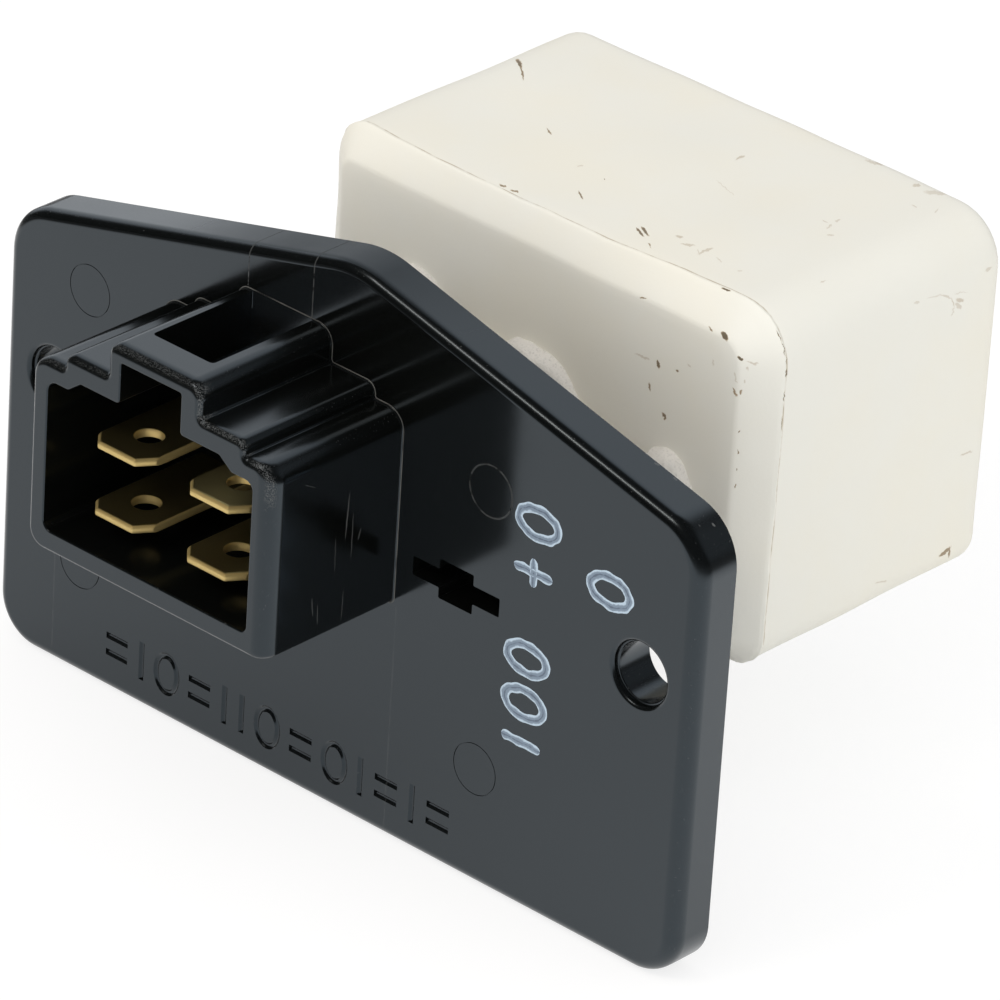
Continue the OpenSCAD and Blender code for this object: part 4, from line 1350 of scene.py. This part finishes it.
# The photograph's camera: its bearing, height and roll in degrees, its place in millimetres, and
# its focal length in pixels of the 1000 pixel picture
VIEW_AZIMUTH = 41.1175
VIEW_ELEVATION = 28.6432
VIEW_ROLL = 3.6796
VIEW_PLACE = (411.895, -456.419, 337.027)
VIEW_FOCAL = 8605.23
PICTURE = 1000
SENSOR = 36

LAMP_PLACE = np.array([-0.18, -0.57, 0.68])
FLOOR_HALF = 3.0
FLOOR_DROP = 0.0002


def view_axes():
    """The photograph's axes to the right, up and ahead. It looks along (-sin a cos e, cos a cos e,
    -sin e), and is rolled."""
    a, e, roll = np.radians([VIEW_AZIMUTH, VIEW_ELEVATION, VIEW_ROLL])
    ahead = np.array([-np.sin(a) * np.cos(e), np.cos(a) * np.cos(e), -np.sin(e)])
    level = unit(np.cross(ahead, [0, 0, 1]))
    right = np.cos(roll) * level + np.sin(roll) * np.cross(level, ahead)
    return right, np.cross(right, ahead), ahead


def stand(context, name, data, place, right, ahead):
    """Puts a camera or a lamp at a place in metres, looking ahead."""
    made = bpy.data.objects.new(name, data)
    turn = np.eye(4)
    turn[:3] = np.column_stack([right, np.cross(right, ahead), -ahead, place])
    made.matrix_world = Matrix(turn.tolist())
    context.scene.collection.objects.link(made)
    return made


def aim_camera(context):
    """The photograph's camera."""
    right, _, ahead = view_axes()
    data = bpy.data.cameras.new("photo_camera")
    data.sensor_width, data.lens, data.clip_start = SENSOR, SENSOR * VIEW_FOCAL / PICTURE, 0.01
    place = np.array(VIEW_PLACE) * MM
    context.scene.camera = stand(context, "photo_camera", data, place, right, ahead)


def light_lamp(context):
    """One soft lamp, in metres and watts, turned towards the origin."""
    data = bpy.data.lights.new("upper_light", "AREA")
    data.shape, data.size, data.size_y = "RECTANGLE", 0.30, 0.12
    data.energy, data.color = 1.3, (1.0, 0.88, 0.76)
    ahead = unit(-LAMP_PLACE)
    stand(context, "upper_light", data, LAMP_PLACE, unit(np.cross(ahead, [0, 0, 1])), ahead)


def pale_floor(context):
    """A wide pale floor just under the part: it takes the part's shadow, and the camera sees it
    nearly white. Gloss sees it bright near the part and dark further off."""
    mesh = bpy.data.meshes.new("pale_floor")
    reach, low = FLOOR_HALF, cad_box[0][2] - FLOOR_DROP
    corners = [(-reach, -reach), (reach, -reach), (reach, reach), (-reach, reach)]
    mesh.from_pydata([(x, y, low) for x, y in corners], [], [[0, 1, 2, 3]])
    floor = bpy.data.objects.new("pale_floor", mesh)
    context.scene.collection.objects.link(floor)
    material = bpy.data.materials.new("pale_floor")
    material.use_nodes = True
    tree = material.node_tree
    tree.nodes.clear()
    kinds = ("Camera", "Glossy", "Transmission")
    seen, glossy, through = (put(tree, "LightPath", out=f"Is {kind} Ray") for kind in kinds)
    mirrored = glossy | through
    place = put(tree, "TexCoord", out="Object")
    far_off = vector("LENGTH", place, out=1)
    sheen = dot(vector("NORMALIZE", place), (0.1, 0.2, 0)) + 0.49
    sheen = sheen * ramp(far_off, 0.12, 0.24, 1.0, 0.1)
    faded = mirrored * ramp(far_off, 0.12, 0.24, 0.0, 0.9)
    body = blend(seen, blend(faded, (0.95, 0.95, 0.95), (0, 0, 0)), (0.28, 0.28, 0.28))
    light = put(tree, "Emission", ((1, 1, 1), seen * 0.78 + mirrored * sheen))
    both = put(tree, "AddShader", (put(tree, "BsdfDiffuse", (body,)), light))
    join(both, tree.nodes.new("ShaderNodeOutputMaterial").inputs["Surface"])
    mesh.materials.append(material)


def soft_surround(context):
    """The world: a pale surround, a little stronger from the front right. Gloss sees it nearly
    dark, but for a wide bright screen at the back left and a faint one at the back right."""
    world = bpy.data.worlds.new("soft_surround")
    context.scene.world = world
    world.use_nodes = True
    tree = world.node_tree
    back = tree.nodes["Background"]
    way = put(tree, "TexCoord", out="Generated")
    mirrored = put(tree, "LightPath", out="Is Glossy Ray")
    even = dot(way, (0.3, -0.53, 0)) + 0.87
    screen = ramp(dot(way, (-0.62, 0.70, 0.35)), 0.6, 0.8, 0.03, 1.15)
    faint = ramp(dot(way, (0.62, 0.66, 0.42)), 0.85, 0.97, 0.0, 0.27)
    strength = put(tree, "Mix", (mirrored, None, even, screen + faint), data_type="FLOAT")
    join(strength, back.inputs["Strength"])
    join(blend(mirrored, (1, 1, 1), (0.92, 0.96, 1.0)), back.inputs["Color"])


class RESISTOR_OT_stage(bpy.types.Operator):
    """Sets the camera, the floor and the light"""

    bl_idname = "resistor.stage"
    bl_label = "Stage"

    def execute(self, context):
        context.scene.view_settings.view_transform = "Standard"
        aim_camera(context)
        pale_floor(context)
        soft_surround(context)
        light_lamp(context)
        return {"FINISHED"}


class RESISTOR_PT_panel(bpy.types.Panel):
    """Lists the pieces and the sizes and colours of their finishes"""

    bl_label = "Blower motor resistor"
    bl_idname = "RESISTOR_PT_panel"
    bl_space_type = "VIEW_3D"
    bl_region_type = "UI"
    bl_category = "Resistor"

    def draw(self, context):
        for kind in OPERATORS:
            self.layout.operator(kind.bl_idname)
        for group in (context.scene.resistor_sizes, context.scene.resistor_colours):
            for name in type(group).__annotations__:
                self.layout.prop(group, name)


OPERATORS = (
    RESISTOR_OT_stage,
    RESISTOR_OT_flange,
    RESISTOR_OT_terminals,
    RESISTOR_OT_block,
    RESISTOR_OT_cement,
    RESISTOR_OT_fuse,
    RESISTOR_OT_cast_in,
    RESISTOR_OT_ink,
)
CLASSES = (ResistorSizes, ResistorColours, *OPERATORS, RESISTOR_PT_panel)


def register():
    for kind in CLASSES:
        bpy.utils.register_class(kind)
    bpy.types.Scene.resistor_sizes = bpy.props.PointerProperty(type=ResistorSizes)
    bpy.types.Scene.resistor_colours = bpy.props.PointerProperty(type=ResistorColours)


def unregister():
    del bpy.types.Scene.resistor_colours
    del bpy.types.Scene.resistor_sizes
    for kind in reversed(CLASSES):
        bpy.utils.unregister_class(kind)


def main():
    register()
    bpy.ops.resistor.stage()
    bpy.ops.resistor.flange()
    bpy.ops.resistor.terminals()
    bpy.ops.resistor.block()
    bpy.ops.resistor.cement()
    bpy.ops.resistor.fuse()
    bpy.ops.resistor.cast_in()
    bpy.ops.resistor.ink()


if __name__ == "__main__":
    main()
